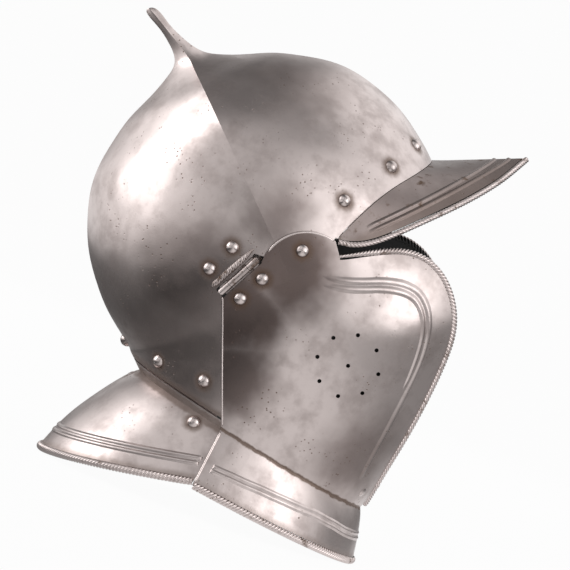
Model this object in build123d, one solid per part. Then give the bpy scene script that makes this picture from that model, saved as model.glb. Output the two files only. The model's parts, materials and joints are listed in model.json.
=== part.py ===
from build123d import *
import math
import os

# Burgonet: an open-faced helmet of polished iron with a spiked skull, a
# pointed peak, a flaring nape plate and two cheekpieces that swing outwards
# on hinges. Millimetres. +X is the face, +Y the wearer's left, +Z up.
# The helmet stands on the rims of the nape plate and of the two collars,
# and the origin is under the middle of its outline, on that surface.

# Plates, clearances and the overrun of cuts
skull_thickness = 1.6
cheek_thickness = 1.6
nape_thickness = 1.6
peak_thickness = 1.6
leaf_thickness = 1.2
plate_clearance = 0.35
lap_clearance = 0.3
overrun = 60.0
median_gap = 0.5

# Skull bowl: a level frame of its own, tipped back from the standing pose
skull_pitch = 44.7
skull_centre_x = -14.9
skull_centre_z = 182.0
bowl_reach = 111.4
bowl_half_width = 95.0
dome_height = 112.0
spike_height = 39.0
spike_lean = 10.0
# Level as a share of the dome height, reach as a share of the bowl reach,
# half width as a share of the bowl's own proportion, and ridge strength
dome_shares = (
    (1.000, 0.093, 1.170, 0.66),
    (0.953, 0.163, 1.140, 0.62),
    (0.902, 0.272, 1.115, 0.57),
    (0.834, 0.446, 1.080, 0.52),
    (0.759, 0.575, 1.050, 0.46),
    (0.691, 0.675, 1.030, 0.41),
    (0.589, 0.784, 1.012, 0.34),
    (0.433, 0.884, 1.000, 0.26),
    (0.254, 0.958, 1.000, 0.18),
    (0.071, 0.992, 1.000, 0.10),
    (-0.098, 1.000, 1.000, 0.04),
    (-0.286, 0.979, 1.000, 0.00),
)
# Height and lean as shares of the spike, half size as a share of its root
spike_shares = (
    (1.00, 1.00, 0.08),
    (0.70, 0.63, 0.33),
    (0.385, 0.32, 0.42),
    (0.167, 0.11, 0.62),
)
spike_ridge_share = 0.75

# Neck ring: the narrowest place, where the head part meets the flares
neck_pitch = -11.6
neck_centre_x = 23.4
neck_centre_z = 52.0
neck_reach = 80.3
neck_half_width = 78.0
# Rings between the bowl and the neck, which fan out from the nape: turn and
# place of the rear end as shares of the way from bowl to neck, length as a
# share of the neck ring's length, half width as a share of the bowl's, and
# the widest place as a share of the length
fan_shares = (
    (0.26, 0.36, 1.445, 0.985, 0.485),
    (0.53, 0.64, 1.212, 0.935, 0.490),
    (0.76, 0.85, 1.076, 0.875, 0.480),
)

# Widest place of the bowl's rings and of the neck ring, as a share of length
middle_share = 0.5
# Even steps from ring to ring, from the bowl's last but one ring to the neck
# ring, which keep the surface smooth where the bowl meets the fan
ring_parts = (2, 3, 3, 2, 2)

# Flares below the neck ring: collars in front, nape plate behind
flare_depth = 78.0
flare_front = 24.0
flare_rear = 30.0
flare_side = 18.0
# Depth and spread as shares
flare_shares = (
    (0.167, 0.290),
    (0.353, 0.520),
    (0.564, 0.740),
    (0.770, 0.880),
    (1.000, 1.000),
)

# Peak, in the skull's frame
peak_root_level = -9.0
peak_rim_level = -37.0
peak_overhang = 65.6
peak_root_inset = 6.0
peak_rim_inset = 2.4
peak_widest = 20.0
peak_flange_height = 22.0
peak_root_reach = bowl_reach
peak_rim_reach = bowl_reach + peak_overhang
peak_root_half_width = bowl_half_width - peak_root_inset
peak_rim_half_width = bowl_half_width - peak_rim_inset
# Handles of the two arches of the peak, as shares of reach and half width
peak_root_handle_shares = ((1.000, 0.517), (0.545, 1.000))
peak_rim_handle_shares = ((0.755, 0.400), (0.430, 0.970))
# Line where the peak leaves the skull: reach and level as shares
peak_root_shares = (
    (0.312, 0.600),
    (0.350, 0.550),
    (0.500, 0.395),
    (0.640, 0.290),
    (0.790, 0.243),
)
# Lower outline of the peak seen from the side: reach and level as shares
peak_outline_shares = (
    (0.190, 0.590),
    (0.238, 0.765),
    (0.293, 0.870),
    (0.380, 0.930),
    (0.500, 0.962),
    (0.677, 0.998),
    (0.800, 0.985),
    (0.955, 0.900),
    (0.990, 0.870),
)

# Cheekpiece, in the neck ring's frame
cheek_height = 154.5
# Face edge from the notch at the temple down to the throat: places along
# the neck ring as shares of its reach, heights as shares of the cheek
cheek_face_shares = (
    (-0.235, 0.838),
    (0.045, 0.945),
    (0.260, 0.997),
    (0.470, 0.993),
    (0.680, 0.930),
    (0.825, 0.835),
    (0.915, 0.690),
    (0.965, 0.520),
    (1.000, 0.290),
    (1.014, 0.130),
    (1.030, 0.035),
)
# Top edge from the hinge over the ear to the notch
cheek_top_shares = (
    (-0.727, 0.660),
    (-0.716, 0.752),
    (-0.597, 0.842),
    (-0.414, 0.881),
    (-0.322, 0.881),
)
# Rear edge from below the hinge down to the neck ring
cheek_rear_shares = (
    (-0.838, 0.451),
    (-0.706, 0.342),
    (-0.564, 0.221),
    (-0.416, 0.099),
    (-0.294, 0.000),
)
# Lug at the throat, turned out beside the median
throat_lug_shares = (
    (0.985, 0.005),
    (1.012, 0.005),
    (1.020, 0.045),
    (1.073, 0.110),
    (1.060, 0.122),
    (0.995, 0.060),
)

# Collar rim and nape rim, in the neck ring's frame
collar_rear_share = -0.268
# Depths of the rims below the neck ring at its front and rear ends
collar_rim_depths = (32.0, 42.0)
nape_rim_depths = (-6.3, 61.1)
# Angles from the face round to the ends of the roped rims
collar_rim_angles = (0.6, 103.0)
nape_rim_angle = 105.7
nape_front_share = -0.150
nape_band_share = -0.200
nape_flange_heights = (20.0, 27.0)

# Hidden lower edge of the skull, in the neck ring's frame
skull_edge_level = 4.6
skull_edge_shares = (
    (-0.330, 0.036),
    (-0.336, 0.110),
    (-0.486, 0.233),
    (-0.623, 0.343),
    (-0.722, 0.414),
    (-0.822, 0.4540),
    (-0.901, 0.4650),
    (-0.804, 0.6700),
    (-0.685, 0.686),
    (-0.648, 0.738),
    (-0.548, 0.796),
    (-0.423, 0.828),
    (-0.300, 0.838),
)

# Roped edges
roll_radius = 2.4
roll_rings = 22
# How far the peak's roll stops short in front of the temples
roll_setback = 2.5
# Steps along the smooth outlines
edge_steps = 12
rim_steps = 24
face_steps = 32

# Hinge: foot and head of its axis in the side view, as shares of the neck
# ring's reach and of the cheek's height
hinge_foot_share = (-0.8591, 0.4693)
hinge_head_share = (-0.7618, 0.6574)
hinge_lift = 1.3
knuckle_radius = 2.3
knuckle_gap = 0.3
middle_knuckle_share = 0.5
pin_radius = 1.0
pin_clearance = 0.05
pin_head_radius = 1.6
pin_head_thickness = 0.6
leaf_half_length = 14.0
skull_leaf_depth = 22.0
cheek_leaf_depth = 17.0
leaf_edge = 1.0
web_depth = 2.0
web_height = 4.2
edge_slot = 3.4
bead_offset = 5.3
bead_width = 2.0
bead_height = 1.2
bead_half_length = 18.0

# Rivets
rivet_head_radius = 4.2
rivet_head_height = 3.1
rivet_radius = 1.5
rivet_clearance = 0.05
burr_radius = 2.8
burr_thickness = 0.7
burr_clearance = 0.15
seat_depth = 0.35
small_rivet_radius = 3.1
small_rivet_height = 0.8
# Places in the side view on the right: those at the brow as shares of the
# bowl's reach and the dome's height, in the skull's frame, and the others as
# shares of the neck ring's reach and the cheek's height, in the neck's frame
brow_rivet_shares = ((0.9519, 0.0504), (0.7711, 0.0223), (0.4514, -0.0210))
nape_side_rivet_shares = ((-0.9531, 0.0860), (-0.5979, 0.1232))
nape_centre_share = (-0.3618, 0.1629)
nape_pin_share = (-0.3170, 0.0494)
nape_lining_rivet_share = (-0.4969, -0.0358)
hinge_skull_rivet_shares = ((-0.9727, 0.6442), (-1.0314, 0.5223))
hinge_cheek_rivet_shares = ((-0.6513, 0.5998), (-0.7118, 0.4857))
ear_rivet_share = (-0.5041, 0.7807)
throat_pin_share = (0.9421, 0.0642)

# Hearing holes of the cheekpiece
vent_radius = 1.3
vent_centre_share = (0.2664, 0.4843)
vent_circle_radius = 20.0
vent_count = 8
vent_start_angle = 3.0


def frame(pitch, x, z):
    """Plane across the median, its own x forward and tipped up by pitch."""
    turn = math.radians(pitch)
    forward = (math.cos(turn), 0, math.sin(turn))
    upward = (-math.sin(turn), 0, math.cos(turn))
    return Plane(origin=(x, 0, z), x_dir=forward, z_dir=upward)


skull_frame = frame(skull_pitch, skull_centre_x, skull_centre_z)
neck_frame = frame(neck_pitch, neck_centre_x, neck_centre_z)


def brow_place(share):
    """Point in the median from shares of the bowl's reach and dome's height."""
    return skull_frame.from_local_coords((share[0] * bowl_reach, 0, share[1] * dome_height))


def cheek_place(share):
    """Point in the median from shares of the neck's reach and cheek's height."""
    return neck_frame.from_local_coords((share[0] * neck_reach, 0, share[1] * cheek_height))


def arch(plane, level, front, widest, rear, half_width, ridge, handles=None):
    """Closed ring of four curves, alike on both sides of the median."""
    round_share = 0.5523
    third = 1 / 3

    def quarter(end, side):
        reach = end - widest
        near = (1 - ridge * third, round_share * (1 - ridge) + ridge * third)
        far = (near[1], near[0])
        if handles and reach > 0:
            near, far = handles
        return [
            plane.from_local_coords((end, 0, level)),
            plane.from_local_coords((widest + near[0] * reach, side * near[1] * half_width, level)),
            plane.from_local_coords((widest + far[0] * reach, side * far[1] * half_width, level)),
            plane.from_local_coords((widest, side * half_width, level)),
        ]

    front_left = quarter(front, 1)
    front_right = quarter(front, -1)
    rear_left = quarter(rear, 1)
    rear_right = quarter(rear, -1)
    return Wire([
        Edge.make_bezier(*front_left),
        Edge.make_bezier(*rear_left[::-1]),
        Edge.make_bezier(*rear_right),
        Edge.make_bezier(*front_right[::-1]),
    ])


def spike_rings(grow):
    """Rings of the spike from its tip to its root."""
    root = dome_shares[0][1] * bowl_reach
    rings = []
    for height, lean, size in spike_shares:
        half = root * size + grow
        middle = -spike_lean * lean
        level = dome_height + spike_height * height
        rings.append(arch(skull_frame, level, middle + half, middle, middle - half, half,
                          spike_ridge_share))
    return rings


def ring_sizes():
    """Sizes of each ring of the head, from the spike's root to the neck ring.

    Each row holds the ring's pitch, the place of its rear end, its length, the
    share of its length at which it is widest, its half width and its ridge.
    """
    sizes = []
    for level, reach, width, ridge in dome_shares:
        half_length = bowl_reach * reach
        rear = skull_frame.from_local_coords((-half_length, 0, dome_height * level))
        sizes.append((skull_pitch, rear.X, rear.Z, 2 * half_length, middle_share,
                      bowl_half_width * reach * width, ridge))
    start = rear
    finish = neck_frame.from_local_coords((-neck_reach, 0, 0))
    for turn, place, length, width, widest in fan_shares:
        rear = start + (finish - start) * place
        sizes.append((skull_pitch + (neck_pitch - skull_pitch) * turn, rear.X, rear.Z,
                      2 * neck_reach * length, widest, bowl_half_width * width, 0))
    sizes.append((neck_pitch, finish.X, finish.Z, 2 * neck_reach, middle_share,
                  neck_half_width, 0))
    return sizes


def ring_steps(sizes):
    """Mean distance of each ring's two ends from those of the next ring."""
    ends = []
    for pitch, rear_x, rear_z, length, *others in sizes:
        turn = math.radians(pitch)
        rear = Vector(rear_x, 0, rear_z)
        ends.append((rear, rear + Vector(math.cos(turn), 0, math.sin(turn)) * length))
    return [((first[0] - second[0]).length + (first[1] - second[1]).length) / 2
            for first, second in zip(ends, ends[1:])]


def slope(sizes, steps, index, column):
    """Rate at which a size changes along the rings, at one of them."""
    before = (sizes[index][column] - sizes[index - 1][column]) / steps[index - 1]
    if index == len(steps):
        return before
    after = (sizes[index + 1][column] - sizes[index][column]) / steps[index]
    return (before * steps[index] + after * steps[index - 1]) / (steps[index - 1] + steps[index])


def blended(sizes, steps, index, share):
    """Sizes of a ring at a share of the way from one ring to the next."""
    row = []
    for column in range(len(sizes[index])):
        first, second = sizes[index][column], sizes[index + 1][column]
        leave = slope(sizes, steps, index, column) * steps[index]
        arrive = slope(sizes, steps, index + 1, column) * steps[index]
        row.append(first + leave * share
                   + (3 * (second - first) - 2 * leave - arrive) * share ** 2
                   + (2 * (first - second) + leave + arrive) * share ** 3)
    return row


def head_ring(size, grow):
    """Ring of the head, grown outwards by the given amount."""
    pitch, rear_x, rear_z, length, widest, half_width, ridge = size
    return arch(frame(pitch, rear_x, rear_z), 0, length + grow, length * widest, -grow,
                half_width + grow, max(ridge, 0))


def fan_rows():
    """Sizes of the rings from the bowl's last but one down to the neck ring."""
    sizes = ring_sizes()
    steps = ring_steps(sizes)
    rows = []
    for index, parts in enumerate(ring_parts, len(dome_shares) - 2):
        rows = rows + [blended(sizes, steps, index, part / parts) for part in range(parts)]
    return rows + [sizes[-1]]


def dome_form(grow):
    """Solid inside the bowl, grown outwards by the given amount."""
    rows = ring_sizes()[:len(dome_shares) - 2] + fan_rows()[:ring_parts[0] + ring_parts[1]]
    rings = [head_ring(row, grow) for row in rows]
    if grow >= 0:
        rings = spike_rings(grow) + rings
    return Solid.make_loft(rings)


def fan_form(grow):
    """Solid inside the head below the bowl, down to the neck ring."""
    return Solid.make_loft([head_ring(row, grow) for row in fan_rows()])


def across(plane, points, near, far):
    """Block over a side-view outline, between two distances from the median."""
    corners = [plane.from_local_coords((forward, 0, up)) for forward, up in points]
    outline = Wire.make_polygon([Vector(p.X, near, p.Z) for p in corners], close=True)
    return Solid.extrude(Face(outline), Vector(0, far - near, 0))


def common(shape, *tools):
    """What a shape shares with each of the tools in turn."""
    for tool in tools:
        solids = shape.intersect(tool).solids()
        shape = solids[0] if len(solids) == 1 else Compound(solids)
    return shape


def smooth(points, count):
    """Points along a smooth curve through the given ones."""
    curve = Edge.make_spline([Vector(forward, 0, up) for forward, up in points])
    return [(p.X, p.Z) for p in (curve.position_at(i / count) for i in range(count + 1))]


def scaled(shares, forward, up):
    """Shares of a reach and a height as lengths."""
    return [(across_share * forward, up_share * up) for across_share, up_share in shares]


def dome_block():
    """Everything above the lowest ring of the bowl."""
    level = dome_height * dome_shares[-1][0]
    far = 2 * bowl_reach
    points = ((-far, level), (far, level), (far, level + far), (-far, level + far))
    return across(skull_frame, points, -far, far)


def head_form(grow):
    """Solid inside the head surface, grown outwards by the given amount."""
    return common(dome_form(grow), dome_block()) + (fan_form(grow) - dome_block())


def flare_form(grow):
    """Solid inside the flare from the neck ring down past the rims."""
    rings = [arch(neck_frame, 0, neck_reach + grow, 0, -neck_reach - grow,
                  neck_half_width + grow, 0)]
    for depth, spread in flare_shares:
        rings.append(arch(
            neck_frame, -flare_depth * depth,
            neck_reach + flare_front * spread + grow, 0,
            -neck_reach - flare_rear * spread - grow,
            neck_half_width + flare_side * spread + grow, 0))
    return Solid.make_loft(rings)


wide = bowl_half_width + overrun
deep = -skull_thickness - lap_clearance
flange_inside = deep - peak_thickness
lift = plate_clearance + cheek_thickness
head_outer = head_form(0)
head_inner = head_form(-skull_thickness)
flange_outer = head_form(deep)
flange_inner = head_form(flange_inside)
flange_layer = flange_outer - flange_inner
cheek_outer = head_form(lift)
cheek_inner = head_form(plate_clearance)
cheek_middle = head_form(plate_clearance + cheek_thickness / 2)
collar_outer = flare_form(lift)
collar_inner = flare_form(plate_clearance)
collar_middle = flare_form(plate_clearance + cheek_thickness / 2)
nape_outer = flare_form(0)
nape_inner = flare_form(-nape_thickness)
nape_middle = flare_form(-nape_thickness / 2)


def outside_point(form, start, direction):
    """Farthest point where a line leaves a form, with its outward normal."""
    hits = form.find_intersection_points(Axis(start, direction))
    hits = [hit for hit in hits if (hit[0] - start).dot(direction) > 0]
    point, normal = max(hits, key=lambda hit: (hit[0] - start).dot(direction))
    if normal.dot(direction) < 0:
        normal = -normal
    return point, normal


def on_right(form, place):
    """Point and normal of a form on the right, out from a point in the median."""
    return outside_point(form, place, Vector(0, -1, 0))


def roll(points):
    """Round roll along a smooth curve through points of a plate's edge."""
    curve = Edge.make_spline(points)
    rings = []
    for i in range(roll_rings + 1):
        place = i / roll_rings
        ring_plane = Plane(origin=curve.position_at(place), z_dir=curve.tangent_at(place))
        rings.append(Wire.make_circle(roll_radius, ring_plane))
    return Solid.make_loft(rings)


def rim_points(form, front_depth, rear_depth, first_angle, last_angle, count):
    """Points of a flare on the plane of its rim, seen round from its middle."""
    front = neck_frame.from_local_coords((neck_reach, 0, -front_depth))
    rear = neck_frame.from_local_coords((-neck_reach, 0, -rear_depth))
    middle = (front + rear) / 2
    forward = (front - rear).normalized()
    points = []
    for i in range(count + 1):
        angle = math.radians(first_angle + (last_angle - first_angle) * i / count)
        ray = forward * math.cos(angle) + Vector(0, 1, 0) * math.sin(angle)
        points.append(outside_point(form, middle, ray)[0])
    return points


def mirrored(solid):
    """The same solid on the wearer's left."""
    return solid.mirror(Plane.XZ)


def bodies_of(shape):
    """Solids of a shape as a list, largest first."""
    return sorted(shape.solids(), key=lambda solid: -solid.volume)


# Hinge frame on the right: x along the axis, y forwards over the cheek, z out
foot_point, foot_normal = on_right(head_outer, cheek_place(hinge_foot_share))
head_point, head_normal = on_right(head_outer, cheek_place(hinge_head_share))
axis_foot = foot_point + foot_normal * hinge_lift
axis_head = head_point + head_normal * hinge_lift
axis_middle = (axis_foot + axis_head) / 2
axis_run = (axis_head - axis_foot).normalized()
hinge_out = foot_normal + head_normal
hinge_out = (hinge_out - axis_run * hinge_out.dot(axis_run)).normalized()
hinge_frame = Plane(origin=axis_middle, x_dir=axis_run, z_dir=hinge_out)
axis_length = (axis_head - axis_foot).length


def hinge_block(run_from, run_to, across_from, across_to, out_from, out_to):
    """Box in the hinge's frame; across is positive over the cheekpiece."""
    size = Vector(run_to - run_from, across_to - across_from, out_to - out_from)
    block = Solid.make_box(size.X, size.Y, size.Z)
    block = block.moved(Location((run_from, -across_to, out_from)))
    return hinge_frame.location * block


def hinge_rod(radius, run_from, run_to):
    """Rod along the hinge axis."""
    rod = Solid.make_cylinder(radius, run_to - run_from,
                              Plane(origin=(run_from, 0, 0), z_dir=(1, 0, 0)))
    return hinge_frame.location * rod


# Rivets


def rivet(point, normal, grip, radius=rivet_head_radius, height=rivet_head_height):
    """Domed rivet with its shank and the burr that it is peened over inside."""
    ball = (radius * radius + height * height) / (2 * height)
    half_angle = math.asin(radius / ball) / 2
    crown = (ball * math.sin(half_angle), height - ball + ball * math.cos(half_angle))
    burr_top = -grip - burr_clearance
    burr_end = burr_top - burr_thickness
    profile = Wire([
        Edge.make_three_point_arc(Vector(0, 0, height), Vector(crown[0], 0, crown[1]),
                                  Vector(radius, 0, 0)),
        Edge.make_line(Vector(radius, 0, 0), Vector(radius, 0, -seat_depth)),
        Edge.make_line(Vector(radius, 0, -seat_depth), Vector(rivet_radius, 0, -seat_depth)),
        Edge.make_line(Vector(rivet_radius, 0, -seat_depth), Vector(rivet_radius, 0, burr_top)),
        Edge.make_line(Vector(rivet_radius, 0, burr_top), Vector(burr_radius, 0, burr_top)),
        Edge.make_line(Vector(burr_radius, 0, burr_top), Vector(burr_radius, 0, burr_end)),
        Edge.make_line(Vector(burr_radius, 0, burr_end), Vector(0, 0, burr_end)),
        Edge.make_line(Vector(0, 0, burr_end), Vector(0, 0, height)),
    ])
    solid = Solid.revolve(Face(profile), 360, Axis.Z)
    return Plane(origin=point, z_dir=normal).location * solid


def rivet_hole(point, normal, radius=rivet_head_radius, height=rivet_head_height):
    """Cut for a rivet's shank and for the seat of its head."""
    drill = Solid.make_cylinder(rivet_radius + rivet_clearance, overrun,
                                Plane(origin=(0, 0, -overrun), z_dir=(0, 0, 1)))
    seat = Solid.make_cylinder(radius, seat_depth + height,
                               Plane(origin=(0, 0, -seat_depth), z_dir=(0, 0, 1)))
    return Plane(origin=point, z_dir=normal).location * (drill + seat)


def set_rivets(places, grip, *head):
    """Rivets at the places, each with the hole that its shank needs."""
    return [(rivet(*place, grip, *head), rivet_hole(*place, *head)) for place in places]


def both_sides(rivets):
    """Right-hand rivets and holes with their mirror images."""
    return rivets + [(mirrored(solid), mirrored(hole)) for solid, hole in rivets]


def riveted(plate, rivets):
    """A plate with holes and seats for the rivets that pass through it."""
    for solid, hole in rivets:
        plate = plate - hole
    return plate


skull_grip = skull_thickness + lap_clearance + peak_thickness
leaf_grip = skull_thickness + lap_clearance + leaf_thickness
cheek_leaf_grip = cheek_thickness + lap_clearance + leaf_thickness
small_head = (small_rivet_radius, small_rivet_height)
brow_places = [on_right(head_outer, brow_place(share)) for share in brow_rivet_shares]
nape_places = [on_right(head_outer, cheek_place(share)) for share in nape_side_rivet_shares]
hinge_skull_places = [on_right(head_outer, cheek_place(share))
                      for share in hinge_skull_rivet_shares]
hinge_cheek_places = [on_right(cheek_outer, cheek_place(share))
                      for share in hinge_cheek_rivet_shares]
ear_place = on_right(cheek_outer, cheek_place(ear_rivet_share))
throat_place = on_right(cheek_outer, cheek_place(throat_pin_share))
nape_lining_place = on_right(nape_outer, cheek_place(nape_lining_rivet_share))
nape_centre_place = outside_point(head_outer, cheek_place(nape_centre_share), Vector(-1, 0, 0))
nape_pin_place = outside_point(nape_outer, cheek_place(nape_pin_share), Vector(-1, 0, 0))


# Peak


def peak_block(raise_by, grow):
    """Sloping block under the peak's upper surface, in front of the temples."""
    rim = arch(skull_frame, peak_rim_level + raise_by, peak_rim_reach + grow, peak_widest,
               -peak_widest, peak_rim_half_width + grow, 0, peak_rim_handle_shares)
    root = arch(skull_frame, peak_root_level + raise_by, peak_root_reach + grow, peak_widest,
                -peak_widest, peak_root_half_width + grow, 0, peak_root_handle_shares)
    return Solid.make_loft([rim, root], True)


def temple_block(offset):
    """Everything in front of the temples."""
    start = peak_root_shares[0][0] * peak_root_reach + offset
    far = peak_rim_reach + overrun
    points = ((start, -far), (far, -far), (far, far), (start, far))
    return across(skull_frame, points, -wide, wide)


def above_root(offset):
    """Everything above the line where the peak leaves the skull."""
    line = scaled(peak_root_shares, peak_root_reach, peak_rim_level)
    line = [(forward, up + offset) for forward, up in smooth(line, len(line) * 2)]
    far = peak_rim_reach + overrun
    back = line[0][0] - overrun
    points = [(back, line[0][1])] + line + [(far, line[-1][1]), (far, far), (back, far)]
    return across(skull_frame, points, -wide, wide)


def peak_outline():
    """Lower outline of the peak in the side view."""
    return smooth(scaled(peak_outline_shares, peak_rim_reach, peak_rim_level), rim_steps)


def peak_plate():
    """Peak with the flange that the brow rivets hold inside the skull."""
    brim = peak_block(0, 0) - peak_block(-peak_thickness, -peak_thickness)
    brim = brim - flange_inner
    brim = common(brim, temple_block(0))
    line = peak_outline()
    far = -peak_rim_reach - overrun
    below = line + [(-far, line[-1][1]), (-far, far), (line[0][0] - roll_radius, far)]
    brim = brim - across(skull_frame, below, -wide, wide)
    brim = brim - above_root(-lap_clearance)
    raised = peak_block(peak_flange_height, overrun)
    flange = common(flange_layer, temple_block(0), raised, above_root(-2 * peak_thickness))
    return brim + flange


# Skull


def skull_plate():
    """Skull with its spike, cut away over the face and under the cheeks."""
    shell = head_outer - head_inner
    edge = scaled(skull_edge_shares, neck_reach, cheek_height)
    far = neck_reach + overrun
    low = skull_edge_level
    temple = skull_frame.from_local_coords((
        peak_root_shares[0][0] * peak_root_reach - lap_clearance, 0,
        peak_root_shares[0][1] * peak_rim_level))
    temple = neck_frame.to_local_coords(temple)
    front_top = neck_frame.to_local_coords(
        skull_frame.from_local_coords((far, 0, peak_rim_level)))
    corner = neck_frame.to_local_coords(
        skull_frame.from_local_coords((peak_root_reach / 2, 0, peak_rim_level)))
    points = [(-far, low)] + edge + [(temple.X, temple.Z), (corner.X, corner.Z),
                                     (front_top.X, front_top.Z), (2 * far, -far), (-far, -far)]
    shell = shell - across(neck_frame, points, -wide, wide)
    shell = shell - (temple_block(-lap_clearance) - above_root(0))
    return shell


# Cheekpieces, modelled on the right and mirrored


def cheek_side_points():
    """Side outline of the part of a cheekpiece above the neck ring."""
    rear = smooth(scaled(cheek_rear_shares, neck_reach, cheek_height), edge_steps)[::-1]
    top = smooth(scaled(cheek_top_shares, neck_reach, cheek_height), edge_steps)
    face = smooth(scaled(cheek_face_shares, neck_reach, cheek_height), face_steps)
    far = neck_reach + overrun
    return rear + top + face + [(far, face[-1][1]), (far, 0)]


def collar_side_points():
    """Side outline of a collar, from the neck ring down to its rim."""
    rear_top = cheek_rear_shares[-1][0] * neck_reach
    rear_low = collar_rear_share * neck_reach
    far = neck_reach + overrun
    return [(rear_top, 0), (far, 0), (far, rim_level(collar_rim_depths, far)),
            (rear_low, rim_level(collar_rim_depths, rear_low))]


def rim_level(depths, forward):
    """Level of a rim's middle line at a place along the neck ring."""
    front_depth, rear_depth = depths
    share = (neck_reach - forward) / (2 * neck_reach)
    return -front_depth - (rear_depth - front_depth) * share


def cheek_roll():
    """Roped edge round the face, from the notch to the throat."""
    face = smooth(scaled(cheek_face_shares, neck_reach, cheek_height), rim_steps)
    points = []
    for forward, up in face:
        place = neck_frame.from_local_coords((forward, 0, up))
        points.append(on_right(cheek_middle, place)[0])
    return roll(points)


def collar_roll():
    """Roped lower edge of the right-hand collar."""
    first, last = collar_rim_angles
    points = rim_points(collar_middle, *collar_rim_depths, -first, -last, edge_steps)
    return roll(points)


def vents():
    """Drills for the hearing holes: one in the middle and a ring round it."""
    centre = cheek_place(vent_centre_share)
    places = [centre]
    for i in range(vent_count):
        angle = math.radians(vent_start_angle + 360 * i / vent_count)
        places.append(centre + Vector(math.cos(angle), 0, math.sin(angle)) * vent_circle_radius)
    return [Solid.make_cylinder(vent_radius, wide, Plane(origin=place, z_dir=(0, -1, 0)))
            for place in places]


def cheek_plate(edge_rolls, rivets):
    """Right-hand cheekpiece in one with its half of the collar."""
    near = -median_gap / 2
    cheek = common(cheek_outer - cheek_inner, across(neck_frame, cheek_side_points(), near, -wide))
    collar = common(collar_outer - collar_inner,
                    across(neck_frame, collar_side_points(), near, -wide))
    lug = across(neck_frame, scaled(throat_lug_shares, neck_reach, cheek_height), near,
                 near - cheek_thickness)
    plate = cheek + collar + lug
    for edge_roll in edge_rolls:
        plate = plate - edge_roll
    half = axis_length / 2 + pin_head_thickness + knuckle_gap
    plate = plate - hinge_block(-half, half, -edge_slot, edge_slot, -overrun, overrun)
    for drill in vents():
        plate = plate - drill
    return bodies_of(riveted(plate, rivets))[0]


# Nape plate


def nape_roll():
    """Roped edge of the nape plate, round the back from side to side."""
    points = rim_points(nape_middle, *nape_rim_depths, nape_rim_angle, 360 - nape_rim_angle, rim_steps)
    return roll(points)


def nape_plate(edge_roll, rivets):
    """Nape plate: flare, joggle at the seam and flange inside the skull."""
    far = neck_reach + overrun
    front = nape_front_share * neck_reach
    clear = collar_rear_share * neck_reach - plate_clearance
    raise_by = 3 * roll_radius
    outline = [(-far, 0), (front, 0),
               (front, rim_level(nape_rim_depths, front) + raise_by),
               (clear, rim_level(nape_rim_depths, clear) + raise_by),
               (clear, rim_level(nape_rim_depths, clear)),
               (-far, rim_level(nape_rim_depths, -far))]
    flare = common(nape_outer - nape_inner, across(neck_frame, outline, -wide, wide))
    flange_front = skull_edge_shares[0][0] * neck_reach - 2 * nape_thickness
    band_front = nape_band_share * neck_reach
    band_top = skull_edge_level - lap_clearance
    band_outline = [(-far, 0), (band_front, 0), (band_front, band_top), (-far, band_top)]
    band = common(head_outer - flange_inner, across(neck_frame, band_outline, -wide, wide))
    rear_height, side_height = nape_flange_heights
    flange_outline = [(-far, 0), (flange_front, 0), (flange_front, side_height),
                      (-neck_reach, rear_height), (-far, rear_height)]
    flange = common(flange_layer, across(neck_frame, flange_outline, -wide, wide))
    plate = flare + band + flange - edge_roll
    return bodies_of(riveted(plate, rivets))[0]


# Peak edge


def peak_roll():
    """Roped edge of the peak: two halves that meet at its point."""
    form = peak_block(-peak_thickness / 2, -peak_thickness / 2)
    side = scaled(peak_outline_shares[:-2], peak_rim_reach, peak_rim_level)
    points = []
    for forward, up in smooth(side, edge_steps):
        place = skull_frame.from_local_coords((forward, 0, up))
        points.append(on_right(form, place)[0])
    tip_level = peak_outline_shares[-2][1] * peak_rim_level
    start = skull_frame.from_local_coords((0, 0, tip_level))
    tip = outside_point(form, start, skull_frame.x_dir)[0]
    points.append(tip)
    points.append(tip + (tip - points[-2]).normalized() * (2 * roll_radius))
    half = roll(points)
    half = half - Solid.make_box(2 * wide, wide, 2 * wide)
    return half, mirrored(half)


# Hinges, modelled on the right and mirrored


def knuckle_zones():
    """Stretches of the axis for the middle knuckle and for the outer two."""
    middle = axis_length * middle_knuckle_share / 2
    end = axis_length / 2
    step = knuckle_gap / 2
    return (-middle + step, middle - step), ((-end, -middle - step), (middle + step, end))


def bored(solid, other_zones):
    """A leaf with the bore for its pin, clear of the other leaf's knuckles."""
    half = axis_length
    for start, end in other_zones:
        solid = solid - hinge_rod(knuckle_radius + knuckle_gap, start - knuckle_gap,
                                  end + knuckle_gap)
    return solid - hinge_rod(pin_radius + pin_clearance, -half, half)


def skull_leaf(rivets):
    """Leaf inside the skull with the two outer knuckles."""
    layer = flange_outer - head_form(deep - leaf_thickness)
    leaf = common(layer, hinge_block(-leaf_half_length, leaf_half_length, -skull_leaf_depth,
                                     -leaf_edge, -overrun, overrun))
    for start, end in knuckle_zones()[1]:
        inner_end = max(start, -leaf_half_length)
        outer_end = min(end, leaf_half_length)
        leaf = leaf + hinge_rod(knuckle_radius, start, end)
        leaf = leaf + hinge_block(inner_end, outer_end, -leaf_edge - web_depth, -leaf_edge,
                                  -web_height, 0)
    leaf = bored(leaf, [knuckle_zones()[0]])
    return bodies_of(riveted(leaf, rivets))[0]


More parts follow.
